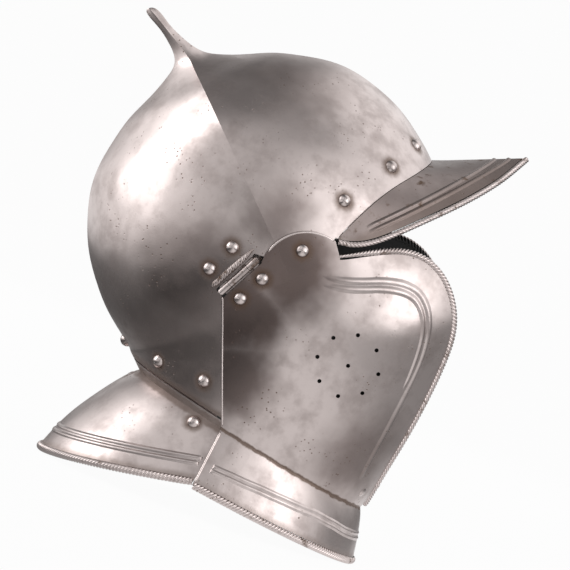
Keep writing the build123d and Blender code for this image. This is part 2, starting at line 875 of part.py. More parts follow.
def cheek_leaf(rivets):
    """Leaf inside the cheekpiece with the middle knuckle."""
    top = plate_clearance - lap_clearance
    layer = head_form(top) - head_form(top - leaf_thickness)
    start, end = knuckle_zones()[0]
    leaf = common(layer, hinge_block(-leaf_half_length, leaf_half_length, leaf_edge,
                                     cheek_leaf_depth, -overrun, overrun))
    leaf = leaf + hinge_rod(knuckle_radius, start, end)
    leaf = leaf + hinge_block(start, end, leaf_edge, leaf_edge + web_depth, -web_depth, 0)
    leaf = bored(leaf, knuckle_zones()[1])
    return bodies_of(riveted(leaf, rivets))[0]


def hinge_pin():
    """Pin with a peened head at each end."""
    half = axis_length / 2
    step = pin_clearance
    pin = hinge_rod(pin_radius, -half - step, half + step)
    for start in (-half - step - pin_head_thickness, half + step):
        pin = pin + hinge_rod(pin_head_radius, start, start + pin_head_thickness)
    return pin


def hinge_bead():
    """Notched bead on the skull beside the hinge."""
    layer = head_form(bead_height) - head_outer
    return common(layer, hinge_block(-bead_half_length, bead_half_length,
                                     -bead_offset - bead_width, -bead_offset,
                                     -overrun, overrun))


def write(name, *solids):
    """Write one node, which may hold several separate solids."""
    shape = solids[0] if len(solids) == 1 else Compound(list(solids))
    shape.label = name
    export_step(shape, "parts/" + name + ".step")


def main():
    os.makedirs("parts", exist_ok=True)

    brow = both_sides(set_rivets(brow_places, skull_grip))
    nape = set_rivets([nape_centre_place], skull_grip)
    nape = nape + both_sides(set_rivets(nape_places, skull_grip))
    hinge_skull = both_sides(set_rivets(hinge_skull_places, leaf_grip))
    nape_lining = both_sides(set_rivets([nape_lining_place], nape_thickness))
    nape_pin = set_rivets([nape_pin_place], nape_thickness, *small_head)
    hinge_cheek = set_rivets(hinge_cheek_places, cheek_leaf_grip)
    ear = set_rivets([ear_place], cheek_thickness)
    throat = set_rivets([throat_place], cheek_thickness, *small_head)
    groups = {"brow_rivets": brow, "nape_rivets": nape, "hinge_skull_rivets": hinge_skull,
              "nape_lining_rivets": nape_lining, "nape_pin": nape_pin}
    for name, rivets in groups.items():
        write(name, *[solid for solid, hole in rivets])

    peak_half, peak_other = peak_roll()
    peak_edge = peak_half + peak_other
    write("peak_roped_edge", common(peak_edge, temple_block(roll_setback)))
    write("peak", bodies_of(riveted(peak_plate() - peak_edge, brow))[0])

    skull = skull_plate() - peak_edge
    half = axis_length / 2 + pin_head_thickness + knuckle_gap
    slot = hinge_block(-half, half, -edge_slot, edge_slot, -web_height, web_height)
    skull = riveted(skull - slot - mirrored(slot), brow + nape + hinge_skull)
    write("skull", bodies_of(skull)[0])

    nape_edge = nape_roll()
    write("nape_roped_edge", nape_edge)
    write("nape_plate", nape_plate(nape_edge, nape + nape_lining + nape_pin))

    face_edge = cheek_roll()
    collar_edge = collar_roll()
    right_hand = {
        "cheekpiece": [cheek_plate([face_edge, collar_edge], hinge_cheek + ear + throat)],
        "cheek_roped_edge": [face_edge],
        "collar_roped_edge": [collar_edge],
        "hinge_skull_leaf": [skull_leaf(hinge_skull)],
        "hinge_cheek_leaf": [cheek_leaf(hinge_cheek)],
        "hinge_pin": [hinge_pin()],
        "hinge_notched_bead": [hinge_bead()],
        "hinge_cheek_rivets": [solid for solid, hole in hinge_cheek],
        "ear_rivet": [solid for solid, hole in ear],
        "throat_rivet": [solid for solid, hole in throat],
    }
    for name, solids in right_hand.items():
        write("right_" + name, *solids)
        write("left_" + name, *[mirrored(solid) for solid in solids])


main()
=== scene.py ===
import json
import math

import bmesh
import bpy
from bpy.props import FloatProperty, FloatVectorProperty, IntProperty, PointerProperty
from mathutils import Matrix, Vector
from mathutils.bvhtree import BVHTree

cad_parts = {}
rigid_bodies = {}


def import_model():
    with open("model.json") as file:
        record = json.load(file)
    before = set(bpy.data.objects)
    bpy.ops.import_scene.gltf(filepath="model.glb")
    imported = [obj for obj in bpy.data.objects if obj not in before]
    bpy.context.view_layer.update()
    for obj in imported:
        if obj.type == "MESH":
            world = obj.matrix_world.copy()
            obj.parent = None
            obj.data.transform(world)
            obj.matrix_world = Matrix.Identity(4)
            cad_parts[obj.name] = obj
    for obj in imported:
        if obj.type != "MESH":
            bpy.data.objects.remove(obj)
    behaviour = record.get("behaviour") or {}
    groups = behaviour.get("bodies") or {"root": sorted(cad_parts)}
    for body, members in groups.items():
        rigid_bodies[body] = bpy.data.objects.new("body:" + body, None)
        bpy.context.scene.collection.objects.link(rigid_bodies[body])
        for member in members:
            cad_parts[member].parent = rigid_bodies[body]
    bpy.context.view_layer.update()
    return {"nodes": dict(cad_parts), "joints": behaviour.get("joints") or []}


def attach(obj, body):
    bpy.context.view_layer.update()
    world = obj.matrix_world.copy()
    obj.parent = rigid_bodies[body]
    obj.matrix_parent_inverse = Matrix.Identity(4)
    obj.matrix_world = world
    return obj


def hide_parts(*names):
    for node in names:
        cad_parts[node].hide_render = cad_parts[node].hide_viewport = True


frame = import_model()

# Visual model of a burgonet: polished iron plates, twisted rope edges, raised
# bead lines, notched beads beside the hinges and near-black inner sides. Metres,
# in the frame of the imported model: +X is the face, +Y the wearer's left.

bl_info = {
    "name": "Burgonet",
    "version": (1, 0, 0),
    "blender": (4, 5, 0),
    "location": "View3D > Sidebar > Burgonet",
    "description": "Dresses the plates of a burgonet with iron, roped edges and bead lines",
    "category": "Object",
}

MM = 0.001
SIDES = (("right", 1), ("left", -1))

# Side-view frames of the part: pitch in degrees and centre in millimetres
SKULL_PITCH, SKULL_CENTRE = 44.7, (-14.9, 182.0)
NECK_PITCH, NECK_CENTRE = -11.6, (23.4, 52.0)
NECK_REACH = 80.3

# Bead lines of the cheekpiece, on the right, as places of the side view in
# the neck's frame: forward, up and width, in millimetres
CHEEK_OUTER_LINE = (
    (-24.9, 113.6, 3.4), (-15.8, 115.6, 4.3), (-6.0, 119.6, 5.0), (3.3, 124.9, 5.0),
    (12.2, 130.4, 5.2), (24.2, 135.4, 5.3), (35.4, 135.9, 5.2), (44.7, 130.9, 5.0),
    (51.2, 123.3, 4.5), (56.2, 113.5, 3.9), (59.8, 101.5, 3.5), (62.1, 88.6, 3.6),
    (63.4, 77.0, 4.4), (65.0, 61.5, 5.0), (66.3, 46.0, 4.7), (67.5, 31.0, 4.5), (69.0, 14.5, 4.4),
)
CHEEK_INNER_LINE = (
    (-22.0, 108.6, 3.0), (-14.4, 110.8, 3.8), (-3.7, 115.2, 5.0), (6.0, 120.7, 5.0),
    (14.7, 126.0, 5.0), (25.8, 130.4, 5.0), (34.9, 130.9, 4.7), (42.1, 127.2, 4.1),
    (48.1, 120.9, 3.5), (52.6, 112.3, 3.2), (56.2, 100.7, 3.1), (58.9, 88.0, 2.6),
    (60.4, 77.0, 1.9),
)
# Rear edge of the cheekpiece and its collar, and its top edge round the ear,
# in the same way without widths
CHEEK_REAR_EDGE = (
    (-67.3, 69.7), (-56.7, 52.8), (-45.3, 34.1), (-33.4, 15.3), (-24.0, 1.5),
)
COLLAR_REAR_EDGE = ((-23.4, -1.5), (-22.8, -12.0), (-22.3, -24.0), (-21.7, -36.5))
CHEEK_TOP_EDGE = (
    (-58.4, 109.0), (-57.5, 116.2), (-53.6, 124.0), (-47.9, 130.1), (-41.0, 134.2),
    (-33.2, 136.1), (-26.6, 136.0),
)
# Depths of the ropes' rims below the neck ring, in front and behind, how far
# the bead lines lie above them, and the angles between which they run
COLLAR_DEPTHS = (32.0, 42.0)
COLLAR_LINE_RISES = (17.0, 14.0)
COLLAR_ANGLES = (4.0, 101.0)
NAPE_DEPTHS = (-6.3, 61.1)
NAPE_LINE_RISES = (16.2, 12.6)
NAPE_ANGLES = (107.5, 252.5)
# How much higher the collar's lines lie on the way from the front to the rear
COLLAR_LINE_SWELLS = (
    (0.0, 0.0), (0.12, 0.0), (0.25, 0.4), (0.37, 1.9), (0.50, 2.8), (0.62, 2.3), (0.75, 1.6),
    (0.88, 0.3), (1.0, -0.9),
)
# Bead lines of the peak: levels at the side and in front, in the skull's frame
PEAK_LINE_LEVELS = ((-22.2, -24.9), (-25.0, -28.6))
PEAK_CENTRE = 20.0
PEAK_ANGLES = (-68.0, 68.0)


def length(name, description, default):
    return FloatProperty(name=name, description=description, default=default, unit="LENGTH")


def tone(name, description, default):
    return FloatVectorProperty(name=name, description=description, default=default,
                               subtype="COLOR")


class HelmetLook(bpy.types.PropertyGroup):
    """Sizes and colours that the operators use."""

    rope_radius: length("Rope radius", "Outer radius of the twisted edges", 2.38 * MM)
    rope_lead: length("Rope lead", "Length in which a groove goes once round", 9.4 * MM)
    rope_grooves: IntProperty(
        name="Rope grooves", description="Grooves side by side round the edge", default=4)
    line_height: length(
        "Line height", "Height of the broad bead lines on the cheekpieces", 0.85 * MM)
    line_width: length(
        "Line width", "Width of the bead lines on the collars, nape and peak", 3.4 * MM)
    trim_radius: length(
        "Trim radius", "Radius of the rounded edges of the cheekpieces", 0.75 * MM)
    notch_radius: length(
        "Notched bead radius", "Radius of the notched beads beside the hinges", 2.0 * MM)
    iron_colour: tone("Iron", "Bright iron", (0.545, 0.477, 0.461))
    patina_colour: tone("Patina", "Dark patina on the iron", (0.30, 0.245, 0.23))
    # Grime and shade: random dark clouds, and the dark places of painted shade on the skull, peak
    # and cheekpieces
    grime_and_shade_colour: tone("Grime", "Dark brown-grey bloom round the hinges", (0.115, 0.084, 0.076))
    # Brown rust, which also paints the dark line of shade along the cheekpieces' crease
    rust_and_shade_colour: tone("Rust", "Brown rust at seams and rivets", (0.115, 0.066, 0.04))
    # Near-black colour of the plates' inner sides
    inside_dark_colour: tone("Paint", "Black paint inside", (0.012, 0.011, 0.0105))
    key_power: FloatProperty(
        name="Key power", description="Power of the rear lamp in watts", default=6.5)
    field: length("Field", "Width of the camera's view at the helmet", 356.25 * MM)


# Frames and surfaces

# How far outside a plate a ray starts, and the length that counts as none
RAY_REACH = 500 * MM
TINY = 1e-9


class SideFrame:
    """Axes across the median: forward tipped up by the pitch, and up."""

    def __init__(self, pitch, centre):
        turn = math.radians(pitch)
        self.forward = Vector((math.cos(turn), 0, math.sin(turn)))
        self.upward = Vector((-math.sin(turn), 0, math.cos(turn)))
        self.centre = Vector((centre[0], 0, centre[1])) * MM

    def place(self, forward, up):
        """Point in the median at a place given in millimetres."""
        return self.centre + (self.forward * forward + self.upward * up) * MM


SKULL_FRAME = SideFrame(SKULL_PITCH, SKULL_CENTRE)
NECK_FRAME = SideFrame(NECK_PITCH, NECK_CENTRE)


def surface_tree(node):
    """Tree of a plate's faces, for finding places on it."""
    mesh = frame["nodes"][node].data
    points = [vertex.co.copy() for vertex in mesh.vertices]
    return BVHTree.FromPolygons(points, [tuple(face.vertices) for face in mesh.polygons])


def outer_hit(tree, middle, direction):
    """Outermost place of a plate on a ray from a middle, with its normal."""
    start = middle + direction * RAY_REACH
    place, normal, index, distance = tree.ray_cast(start, -direction, RAY_REACH)
    return place, normal


def hit_line(node, rays):
    """Places of a plate on rays from inside it, each with its normal."""
    tree = surface_tree(node)
    hits = [outer_hit(tree, middle, direction) for middle, direction in rays]
    return [(place, normal) for place, normal in hits if place is not None]


def swung(forward, angles, share):
    """Direction turned from forward to the left, and the cosine of its turn."""
    angle = math.radians(angles[0] + (angles[1] - angles[0]) * share)
    turn = math.cos(angle)
    return forward * turn + Vector((0, math.sin(angle), 0)), turn


def smooth_step(share):
    """Rise from 0 to 1 without a kink at either end."""
    return share * share * (3 - 2 * share)


def smooth_places(points, steps):
    """Places along a smooth curve through the given ones."""
    run = [points[0]] + list(points) + [points[-1]]
    places = []
    for i in range(1, len(run) - 2):
        before, first, second, after = (Vector(run[i + k]) for k in (-1, 0, 1, 2))
        for step in range(steps):
            t = step / steps
            places.append(0.5 * (
                2 * first + (second - before) * t
                + (2 * before - 5 * first + 4 * second - after) * t * t
                + (3 * first - before - 3 * second + after) * t * t * t))
    places.append(Vector(points[-1]))
    return places


def run_lengths(points):
    """Length of the way along a line up to each of its points."""
    lengths = [0.0]
    for first, second in zip(points, points[1:]):
        lengths.append(lengths[-1] + (second - first).length)
    return lengths


def even_path(points, spacing):
    """The same line with its points at an even spacing."""
    lengths = run_lengths(points)
    count = max(2, round(lengths[-1] / spacing))
    path, index = [], 0
    for i in range(count + 1):
        wanted = lengths[-1] * i / count
        while index < len(lengths) - 2 and lengths[index + 1] < wanted:
            index += 1
        span = max(lengths[index + 1] - lengths[index], TINY)
        path.append(points[index].lerp(points[index + 1], (wanted - lengths[index]) / span))
    return path


def eased(points, rounds):
    """The same line with small kinks evened out, its ends kept."""
    for _ in range(rounds):
        points = [points[0]] + [
            points[i - 1] * 0.25 + points[i] * 0.5 + points[i + 1] * 0.25
            for i in range(1, len(points) - 1)] + [points[-1]]
    return points


# Modelling helpers

# Distance below which two corners of a mesh are one
MERGE_GAP = 1e-6


def clear_selection():
    """Deselects everything, so that an operator acts on its own piece only."""
    for item in bpy.context.view_layer.objects:
        item.select_set(False)


def activate(piece):
    """Selects one piece alone."""
    clear_selection()
    piece.select_set(True)
    bpy.context.view_layer.objects.active = piece


def named(name):
    """The object just added, under its own name."""
    piece = bpy.context.object
    piece.name = name
    return piece


def tidy_mesh(piece):
    """Merges doubles and turns all faces outwards."""
    activate(piece)
    bpy.ops.object.mode_set(mode="EDIT")
    bpy.ops.mesh.select_all(action="SELECT")
    bpy.ops.mesh.remove_doubles(threshold=MERGE_GAP)
    bpy.ops.mesh.normals_make_consistent(inside=False)
    bpy.ops.object.mode_set(mode="OBJECT")
    bpy.ops.object.transform_apply(location=True, rotation=True, scale=True)


def poly_curve(name, places, dimensions):
    """Curve of straight stretches through places."""
    bpy.ops.curve.primitive_nurbs_path_add()
    piece = named(name)
    curve = piece.data
    curve.splines.clear()
    spline = curve.splines.new("POLY")
    spline.points.add(len(places) - 1)
    for point, place in zip(spline.points, places):
        point.co = (*place, 1)
    curve.dimensions = dimensions
    return piece, curve, spline


def curve_piece(name, path, profile, tilts, sizes):
    """Tube along a path with the profile's section, made a mesh."""
    piece, curve, spline = poly_curve(name, path, "3D")
    for point, tilt, size in zip(spline.points, tilts, sizes):
        point.tilt = tilt
        point.radius = size
    curve.twist_mode = "MINIMUM"
    curve.bevel_mode = "OBJECT"
    curve.bevel_object = profile
    curve.use_fill_caps = True
    activate(piece)
    bpy.ops.object.convert(target="MESH")
    piece = bpy.context.object
    tidy_mesh(piece)
    return piece


def profile_curve(name, radii):
    """Closed flat curve with the given radii round its middle."""
    places = []
    for i, radius in enumerate(radii):
        angle = 2 * math.pi * i / len(radii)
        places.append((radius * math.cos(angle), radius * math.sin(angle), 0))
    piece, curve, spline = poly_curve(name, places, "2D")
    spline.use_cyclic_u = True
    return piece


def remove(piece):
    """Takes a curve away once nothing needs it."""
    data = piece.data
    bpy.data.objects.remove(piece)
    bpy.data.curves.remove(data)


def dress(piece, material, body, node=None):
    """Finishes a piece: material, smooth faces, body and what it replaces."""
    piece.data.materials.clear()
    piece.data.materials.append(bpy.data.materials[material])
    activate(piece)
    bpy.ops.object.shade_smooth()
    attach(piece, body)
    if node:
        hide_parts(node)


# Roped edges

# Rolls of the part: their radius, and how their middle lines are found
ROLL_RADIUS = 2.4 * MM
ROLL_BINS, PEAK_ROLL_BINS = 90, 60
ROLL_ROUNDS = 2
ROLL_SPACING = 3 * MM
# Distances from a line's end within which the end of its roll is sought
END_REACH = 6 * ROLL_RADIUS
END_WIDTH = 1.3 * ROLL_RADIUS
# Middle of the cheekpiece in the neck's frame, in millimetres
CHEEK_MIDDLE = (-10.0, 50.0)
# Section of a rope: its sides, its grooves' depth and width as shares of the
# radius and of their spacing, and how steep they are
ROPE_SIDES = 32
GROOVE_DEPTH, GROOVE_WIDTH, GROOVE_STEEPNESS = 0.26, 0.30, 3.2
# Ropes along their length: spacing of their rings, size at a thin start, way
# on which it grows, size on the peak, and where its two halves end at the tip
ROPE_SPACING = 0.55 * MM
THIN_SIZE = 0.42
FACE_ROPE_TAPER = 26 * MM
PEAK_ROPE_SIZE = 0.78
PEAK_TIP_GAP = 6 * MM


def roll_path(node, key, bins):
    """Middle line of a round roll, from its faces' places and normals."""
    mesh = frame["nodes"][node].data
    marks = []
    for face in mesh.polygons:
        if face.area > 0:
            middle = face.center - face.normal * ROLL_RADIUS
            place = key(middle)
            if place is not None:
                marks.append((place, middle, face.area))
    marks.sort(key=lambda mark: mark[0])
    low, high = marks[0][0], marks[-1][0]
    sums = [[Vector(), 0.0] for _ in range(bins)]
    for place, middle, area in marks:
        index = min(int((place - low) / (high - low) * bins), bins - 1)
        sums[index][0] += middle * area
        sums[index][1] += area
    points = [total / weight for total, weight in sums if weight > 0]
    return even_path(eased(points[1:-1], ROLL_ROUNDS), ROLL_SPACING)


def front_key(point):
    """Angle round the neck's upward axis, from the front."""
    local = point - NECK_FRAME.centre
    return math.atan2(local.y, local.dot(NECK_FRAME.forward))


def rear_key(point):
    """Angle round the neck's upward axis, from the rear."""
    return front_key(2 * NECK_FRAME.centre - point)


def half_key(hand):
    """Angle from the side to the front round the skull, on one side only."""

    def key(point):
        local = point - SKULL_FRAME.place(PEAK_CENTRE, 0)
        if local.y * hand > 0:
            return None
        return -abs(math.atan2(local.y, local.dot(SKULL_FRAME.forward)))
    return key


def face_key(point):
    """Angle in the side view round the middle of the cheekpiece."""
    local = point - NECK_FRAME.place(*CHEEK_MIDDLE)
    return -math.atan2(local.dot(NECK_FRAME.upward), local.dot(NECK_FRAME.forward))


def lengthened(path, node):
    """The path carried on to the ends of its roll."""
    mesh = frame["nodes"][node].data
    points = [vertex.co for vertex in mesh.vertices]
    for end, inner in ((0, 1), (-1, -2)):
        run = (path[end] - path[inner]).normalized()
        reach = 0
        for point in points:
            away = point - path[end]
            ahead = away.dot(run)
            if away.length < END_REACH and (away - run * ahead).length < END_WIDTH:
                reach = max(reach, ahead)
        tip = path[end] + run * reach
        path = [tip] + path if end == 0 else path + [tip]
    return path


def rope_profile(look, radius):
    """Section of a rope: a circle with narrow grooves."""
    radii = []
    for i in range(ROPE_SIDES):
        turn = (i / ROPE_SIDES * look.rope_grooves) % 1.0
        away = min(turn, 1 - turn) / GROOVE_WIDTH
        radii.append(radius * (1 - GROOVE_DEPTH * math.exp(-away * away * GROOVE_STEEPNESS)))
    return profile_curve("rope_profile", radii)


def twisted_piece(name, look, path, spacing, profile, hand, sizes):
    """Tube whose section turns with the rope's lead along an even path."""
    turn = hand * 2 * math.pi * spacing / look.rope_lead
    return curve_piece(name, path, profile, [turn * i for i in range(len(path))], sizes)


def rope(look, node, path, profile, hand, taper=0.0, size=1.0):
    """Twisted tube along a path, thin at its start where it tapers."""
    path = even_path(path, ROPE_SPACING)
    sizes = []
    for i in range(len(path)):
        share = min(i * ROPE_SPACING / taper, 1.0) if taper else 1.0
        sizes.append(size * (THIN_SIZE + (1 - THIN_SIZE) * smooth_step(share)))
    return twisted_piece(node + "_rope", look, path, ROPE_SPACING, profile, hand, sizes)


class HELMET_OT_roped_edges(bpy.types.Operator):
    """Twisted edges in place of the plain rolls"""

    bl_idname = "helmet.roped_edges"
    bl_label = "Roped edges"

    def execute(self, context):
        look = context.scene.helmet_look
        profile = rope_profile(look, look.rope_radius)
        for side, hand in SIDES:
            for name, key, taper in (("_collar_roped_edge", front_key, 0.0),
                                     ("_cheek_roped_edge", face_key, FACE_ROPE_TAPER)):
                node = side + name
                path = lengthened(roll_path(node, key, ROLL_BINS), node)
                piece = rope(look, node, path, profile, -hand, taper=taper)
                dress(piece, "cheek_rope", side + "_cheek", node)
        node = "nape_roped_edge"
        path = lengthened(roll_path(node, rear_key, ROLL_BINS), node)
        piece = rope(look, node, path, profile, -1)
        dress(piece, "nape_rope", "skull_body", node)
        self.peak_rope(look, profile)
        remove(profile)
        return {"FINISHED"}

    def peak_rope(self, look, profile):
        """Two ropes from the temples that meet at the tip of the peak."""
        node = "peak_roped_edge"
        halves = []
        for side, hand in SIDES:
            path = roll_path(node, half_key(hand), PEAK_ROLL_BINS)
            path = [point for point in path if point.y * hand < -PEAK_TIP_GAP]
            last, before = path[-1], path[-3]
            run = (last - before) / (last - before).y
            path = lengthened(path, node)[:-1] + [last - run * last.y]
            halves.append(rope(look, node + "_" + side, path, profile, hand, size=PEAK_ROPE_SIZE))
        activate(halves[0])
        halves[1].select_set(True)
        bpy.ops.object.join()
        dress(bpy.context.object, "peak_rope", "skull_body", node)


# Bead lines

# Ridges: spacing of their rows, strips across, rounds of evening out the line
# and its normals, how far a ray starts above the plate, depth of the ridge's
# root in the plate, share of the width that stands out, and thickness
RIDGE_SPACING = 1.5 * MM
RIDGE_STRIPS = 16
LINE_ROUNDS, NORMAL_ROUNDS = 3, 6
RIDGE_LIFT = 6 * MM
RIDGE_ROOT = 0.08 * MM
RIDGE_SHOWN = 0.8
RIDGE_THICKNESS = 0.5 * MM
# Heights of the slimmer lines as shares of the broad ones', and the lengths in
# which each line fades in and out
FLARE_HEIGHT_SHARE, PEAK_HEIGHT_SHARE = 0.75, 0.85
FLARE_FADES = (2 * MM, 2 * MM)
PEAK_FADES = (8 * MM, 8 * MM)
CHEEK_FADES = (20 * MM, 12 * MM)
# Places found along each line
NAPE_STEPS, COLLAR_STEPS, PEAK_STEPS, CURVE_STEPS = 90, 60, 110, 8
WIDTH_STEPS = 100


def even_line(line, spacing, rounds):
    """Even places along a line on a plate, each with the plate's normal."""
    path = even_path(eased([place for place, normal in line], rounds), spacing)
    run = []
    index = 0
    for place in path:
        while (index < len(line) - 1 and (line[index + 1][0] - place).length
                < (line[index][0] - place).length):
            index += 1
        run.append(line[index][1])
    return [(place, normal.normalized())
            for place, normal in zip(path, eased(run, NORMAL_ROUNDS))]


def laid_ridge(name, node, line, widths, height, fades):
    """Low round ridge laid over a plate along a line, fading out at its ends."""
    tree = surface_tree(node)
    line = even_line(line, RIDGE_SPACING, LINE_ROUNDS)
    along = len(line) - 1
    bpy.ops.mesh.primitive_grid_add(x_subdivisions=along, y_subdivisions=RIDGE_STRIPS, size=1)
    piece = named(name)
    for vertex in piece.data.vertices:
        index = round((vertex.co.x + 0.5) * along)
        share = vertex.co.y
        place, normal = line[index]
        before, after = line[max(index - 1, 0)][0], line[min(index + 1, along)][0]
        sideways = normal.cross((after - before).normalized())
        width = widths[round(index / along * (len(widths) - 1))] / RIDGE_SHOWN
        over = place + sideways * (share * width)
        start = over + normal * RIDGE_LIFT
        found, plate_normal, face, distance = tree.ray_cast(start, -normal, 2 * RIDGE_LIFT)
        if found is None:
            found = over
        fade = 1.0
        for steps, reach in zip((index, along - index), fades):
            fade *= smooth_step(min(steps * RIDGE_SPACING / reach, 1.0))
        swelling = (1 + math.cos(2 * math.pi * share)) / 2
        vertex.co = found + normal * (swelling * (height + RIDGE_ROOT) * fade - RIDGE_ROOT)
    wall = piece.modifiers.new("wall", "SOLIDIFY")
    wall.thickness = RIDGE_THICKNESS
    wall.offset = 1.0 if faces_the_plate(piece, line) else -1.0
    activate(piece)
    bpy.ops.object.modifier_apply(modifier=wall.name)
    tidy_mesh(piece)
    return piece


def faces_the_plate(piece, line):
    """Whether a strip's faces look into its plate."""
    middle = piece.data.polygons[len(piece.data.polygons) // 2]
    normal = min(line, key=lambda mark: (mark[0] - middle.center).length)[1]
    return middle.normal.dot(normal) < 0


def swell(swells, share):
    """Value of a table at a share of the way through it."""
    for (first, low), (second, high) in zip(swells, swells[1:]):
        if share <= second:
            return low + (high - low) * smooth_step((share - first) / (second - first))
    return swells[-1][1]


def rim_ends(depths, above=0.0):
    """Foremost and rearmost place of a flare's rim, or of a line above it."""
    return (NECK_FRAME.place(NECK_REACH, above - depths[0]),
            NECK_FRAME.place(-NECK_REACH, above - depths[1]))


def ring_line(node, depths, rise, angles, steps, swells=((0.0, 0.0), (1.0, 0.0))):
    """Line on a flare, above its rim and parallel to it but for the swells."""
    rays = []
    for i in range(steps + 1):
        front, rear = rim_ends(depths, rise + swell(swells, i / steps))
        ray, turn = swung((front - rear).normalized(), angles, i / steps)
        rays.append(((front + rear) / 2, ray))
    return hit_line(node, rays)


def peak_line(levels):
    """Line on the peak's upper surface, from one temple to the other."""
    side, front = levels
    rays = []
    for i in range(PEAK_STEPS + 1):
        ray, turn = swung(SKULL_FRAME.forward, PEAK_ANGLES, i / PEAK_STEPS)
        rays.append((SKULL_FRAME.place(PEAK_CENTRE, side + (front - side) * turn), ray))
    return hit_line("peak", rays)


def cheek_line(node, hand, places):
    """Line on a cheekpiece through places of the side view."""
    spots = smooth_places([place[:2] for place in places], CURVE_STEPS)
    return hit_line(node, [(NECK_FRAME.place(*spot), Vector((0, -hand, 0))) for spot in spots])


def cheek_widths(places):
    """Widths of a cheekpiece's bead line, closely spaced along it."""
    spots = smooth_places(places, CURVE_STEPS)
    lengths = run_lengths([spot.xy for spot in spots])
    widths, index = [], 0
    for i in range(WIDTH_STEPS + 1):
        wanted = lengths[-1] * i / WIDTH_STEPS
        while index < len(spots) - 1 and lengths[index] < wanted:
            index += 1
        widths.append(spots[index].z * MM)
    return widths


class HELMET_OT_bead_lines(bpy.types.Operator):
    """Raised lines on the peak, cheekpieces, collars and nape plate"""

    bl_idname = "helmet.bead_lines"
    bl_label = "Bead lines"

    def execute(self, context):
        look = context.scene.helmet_look
        flare = ([look.line_width], look.line_height * FLARE_HEIGHT_SHARE, FLARE_FADES)
        slim = ([look.line_width], look.line_height * PEAK_HEIGHT_SHARE, PEAK_FADES)
        for i, rise in enumerate(NAPE_LINE_RISES):
            line = ring_line("nape_plate", NAPE_DEPTHS, rise, NAPE_ANGLES, NAPE_STEPS)
            self.ridge(f"nape_bead_{i}", "nape_plate", "skull_body", line, *flare)
        for i, levels in enumerate(PEAK_LINE_LEVELS):
            self.ridge(f"peak_bead_{i}", "peak", "skull_body", peak_line(levels), *slim)
        for side, hand in SIDES:
            node, body = side + "_cheekpiece", side + "_cheek"
            angles = tuple(-hand * angle for angle in COLLAR_ANGLES)
            for i, rise in enumerate(COLLAR_LINE_RISES):
                line = ring_line(node, COLLAR_DEPTHS, rise, angles, COLLAR_STEPS,
                                 COLLAR_LINE_SWELLS)
                self.ridge(f"{side}_collar_bead_{i}", node, body, line, *flare)
            for i, places in enumerate((CHEEK_OUTER_LINE, CHEEK_INNER_LINE)):
                self.ridge(f"{side}_cheek_bead_{i}", node, body, cheek_line(node, hand, places),
                           cheek_widths(places), look.line_height, CHEEK_FADES)
        return {"FINISHED"}

    def ridge(self, name, node, body, line, widths, height, fades):
        """One bead line with its plate's material."""
        piece = laid_ridge(name, node, line, widths, height, fades)
        dress(piece, plate_material(node), body)


# Rounded edges of the cheekpieces

# Point of the side view that every edge looks away from, reach of the search
# inwards and outwards of the given places, in millimetres, its halvings, steps
# from one given place to the next, and how far the trim's line lies inside the
# real edge
EDGE_CENTRE = (0.0, 60.0)
EDGE_SEARCH = (-6.0, 4.0)
EDGE_HALVINGS = 9
EDGE_STEPS = 6
TRIM_INSET = 0.6
# Section and spacing of the trims, how deep they lie as a share of their
# radius, and how they narrow at the ends
TRIM_SIDES = 12
TRIM_SPACING = 1.5 * MM
TRIM_ROUNDS = 4
TRIM_SINK = 0.45
TRIM_END_SIZE, TRIM_END_STEP = 0.5, 0.25


def edge_line(node, hand, places):
    """Line on a cheekpiece just inside its real edge, near the given places."""
    tree = surface_tree(node)
    outline = smooth_places(places, EDGE_STEPS)
    side = Vector((0, -hand, 0))
    line = []
    for index, spot in enumerate(outline):
        before, after = outline[max(index - 1, 0)], outline[min(index + 1, len(outline) - 1)]
        run = (after - before).normalized()
        outward = Vector((run.y, -run.x))
        if outward.dot(spot - Vector(EDGE_CENTRE)) < 0:
            outward = -outward
        low, high = EDGE_SEARCH
        for _ in range(EDGE_HALVINGS):
            half = (low + high) / 2
            if outer_hit(tree, NECK_FRAME.place(*(spot + outward * half)), side)[0] is None:
                high = half
            else:
                low = half
        inside = spot + outward * (low - TRIM_INSET)
        place, normal = outer_hit(tree, NECK_FRAME.place(*inside), side)
        if place is not None:
            line.append((place, normal))
    return line


class HELMET_OT_edge_trims(bpy.types.Operator):
    """Rounded rear and top edges of the cheekpieces and collars"""

    bl_idname = "helmet.edge_trims"
    bl_label = "Edge trims"

    def execute(self, context):
        radius = context.scene.helmet_look.trim_radius
        profile = profile_curve("trim_profile", [radius] * TRIM_SIDES)
        for side, hand in SIDES:
            for name, places in (("rear", CHEEK_REAR_EDGE), ("collar_rear", COLLAR_REAR_EDGE),
                                 ("top", CHEEK_TOP_EDGE)):
                line = edge_line(side + "_cheekpiece", hand, places)
                line = even_line(line, TRIM_SPACING, TRIM_ROUNDS)
                path = [place - normal * (radius * TRIM_SINK) for place, normal in line]
                sizes = []
                for i in range(len(path)):
                    nearest_end = min(i, len(path) - 1 - i)
                    sizes.append(min(1.0, TRIM_END_SIZE + TRIM_END_STEP * nearest_end))
                piece = curve_piece(f"{side}_{name}_edge_trim", path, profile,
                                    [0.0] * len(path), sizes)
                dress(piece, "trim_highlight_iron", side + "_cheek")
        remove(profile)
        return {"FINISHED"}


# Notched beads beside the hinges

# Places along a bead, its spacing and rounds of evening out, and how far its
# middle stands off the skull as a share of its radius
NOTCH_STEPS = 40
NOTCH_SPACING = 0.6 * MM
NOTCH_ROUNDS = 4
NOTCH_RISE = 0.15
# Narrowing of its ends: rows that it takes, and how much slower the upper end
# narrows, with the least size
NOTCH_END_ROWS = 7
NOTCH_UPPER_SHARE = 0.4
NOTCH_END_SIZE = 0.25


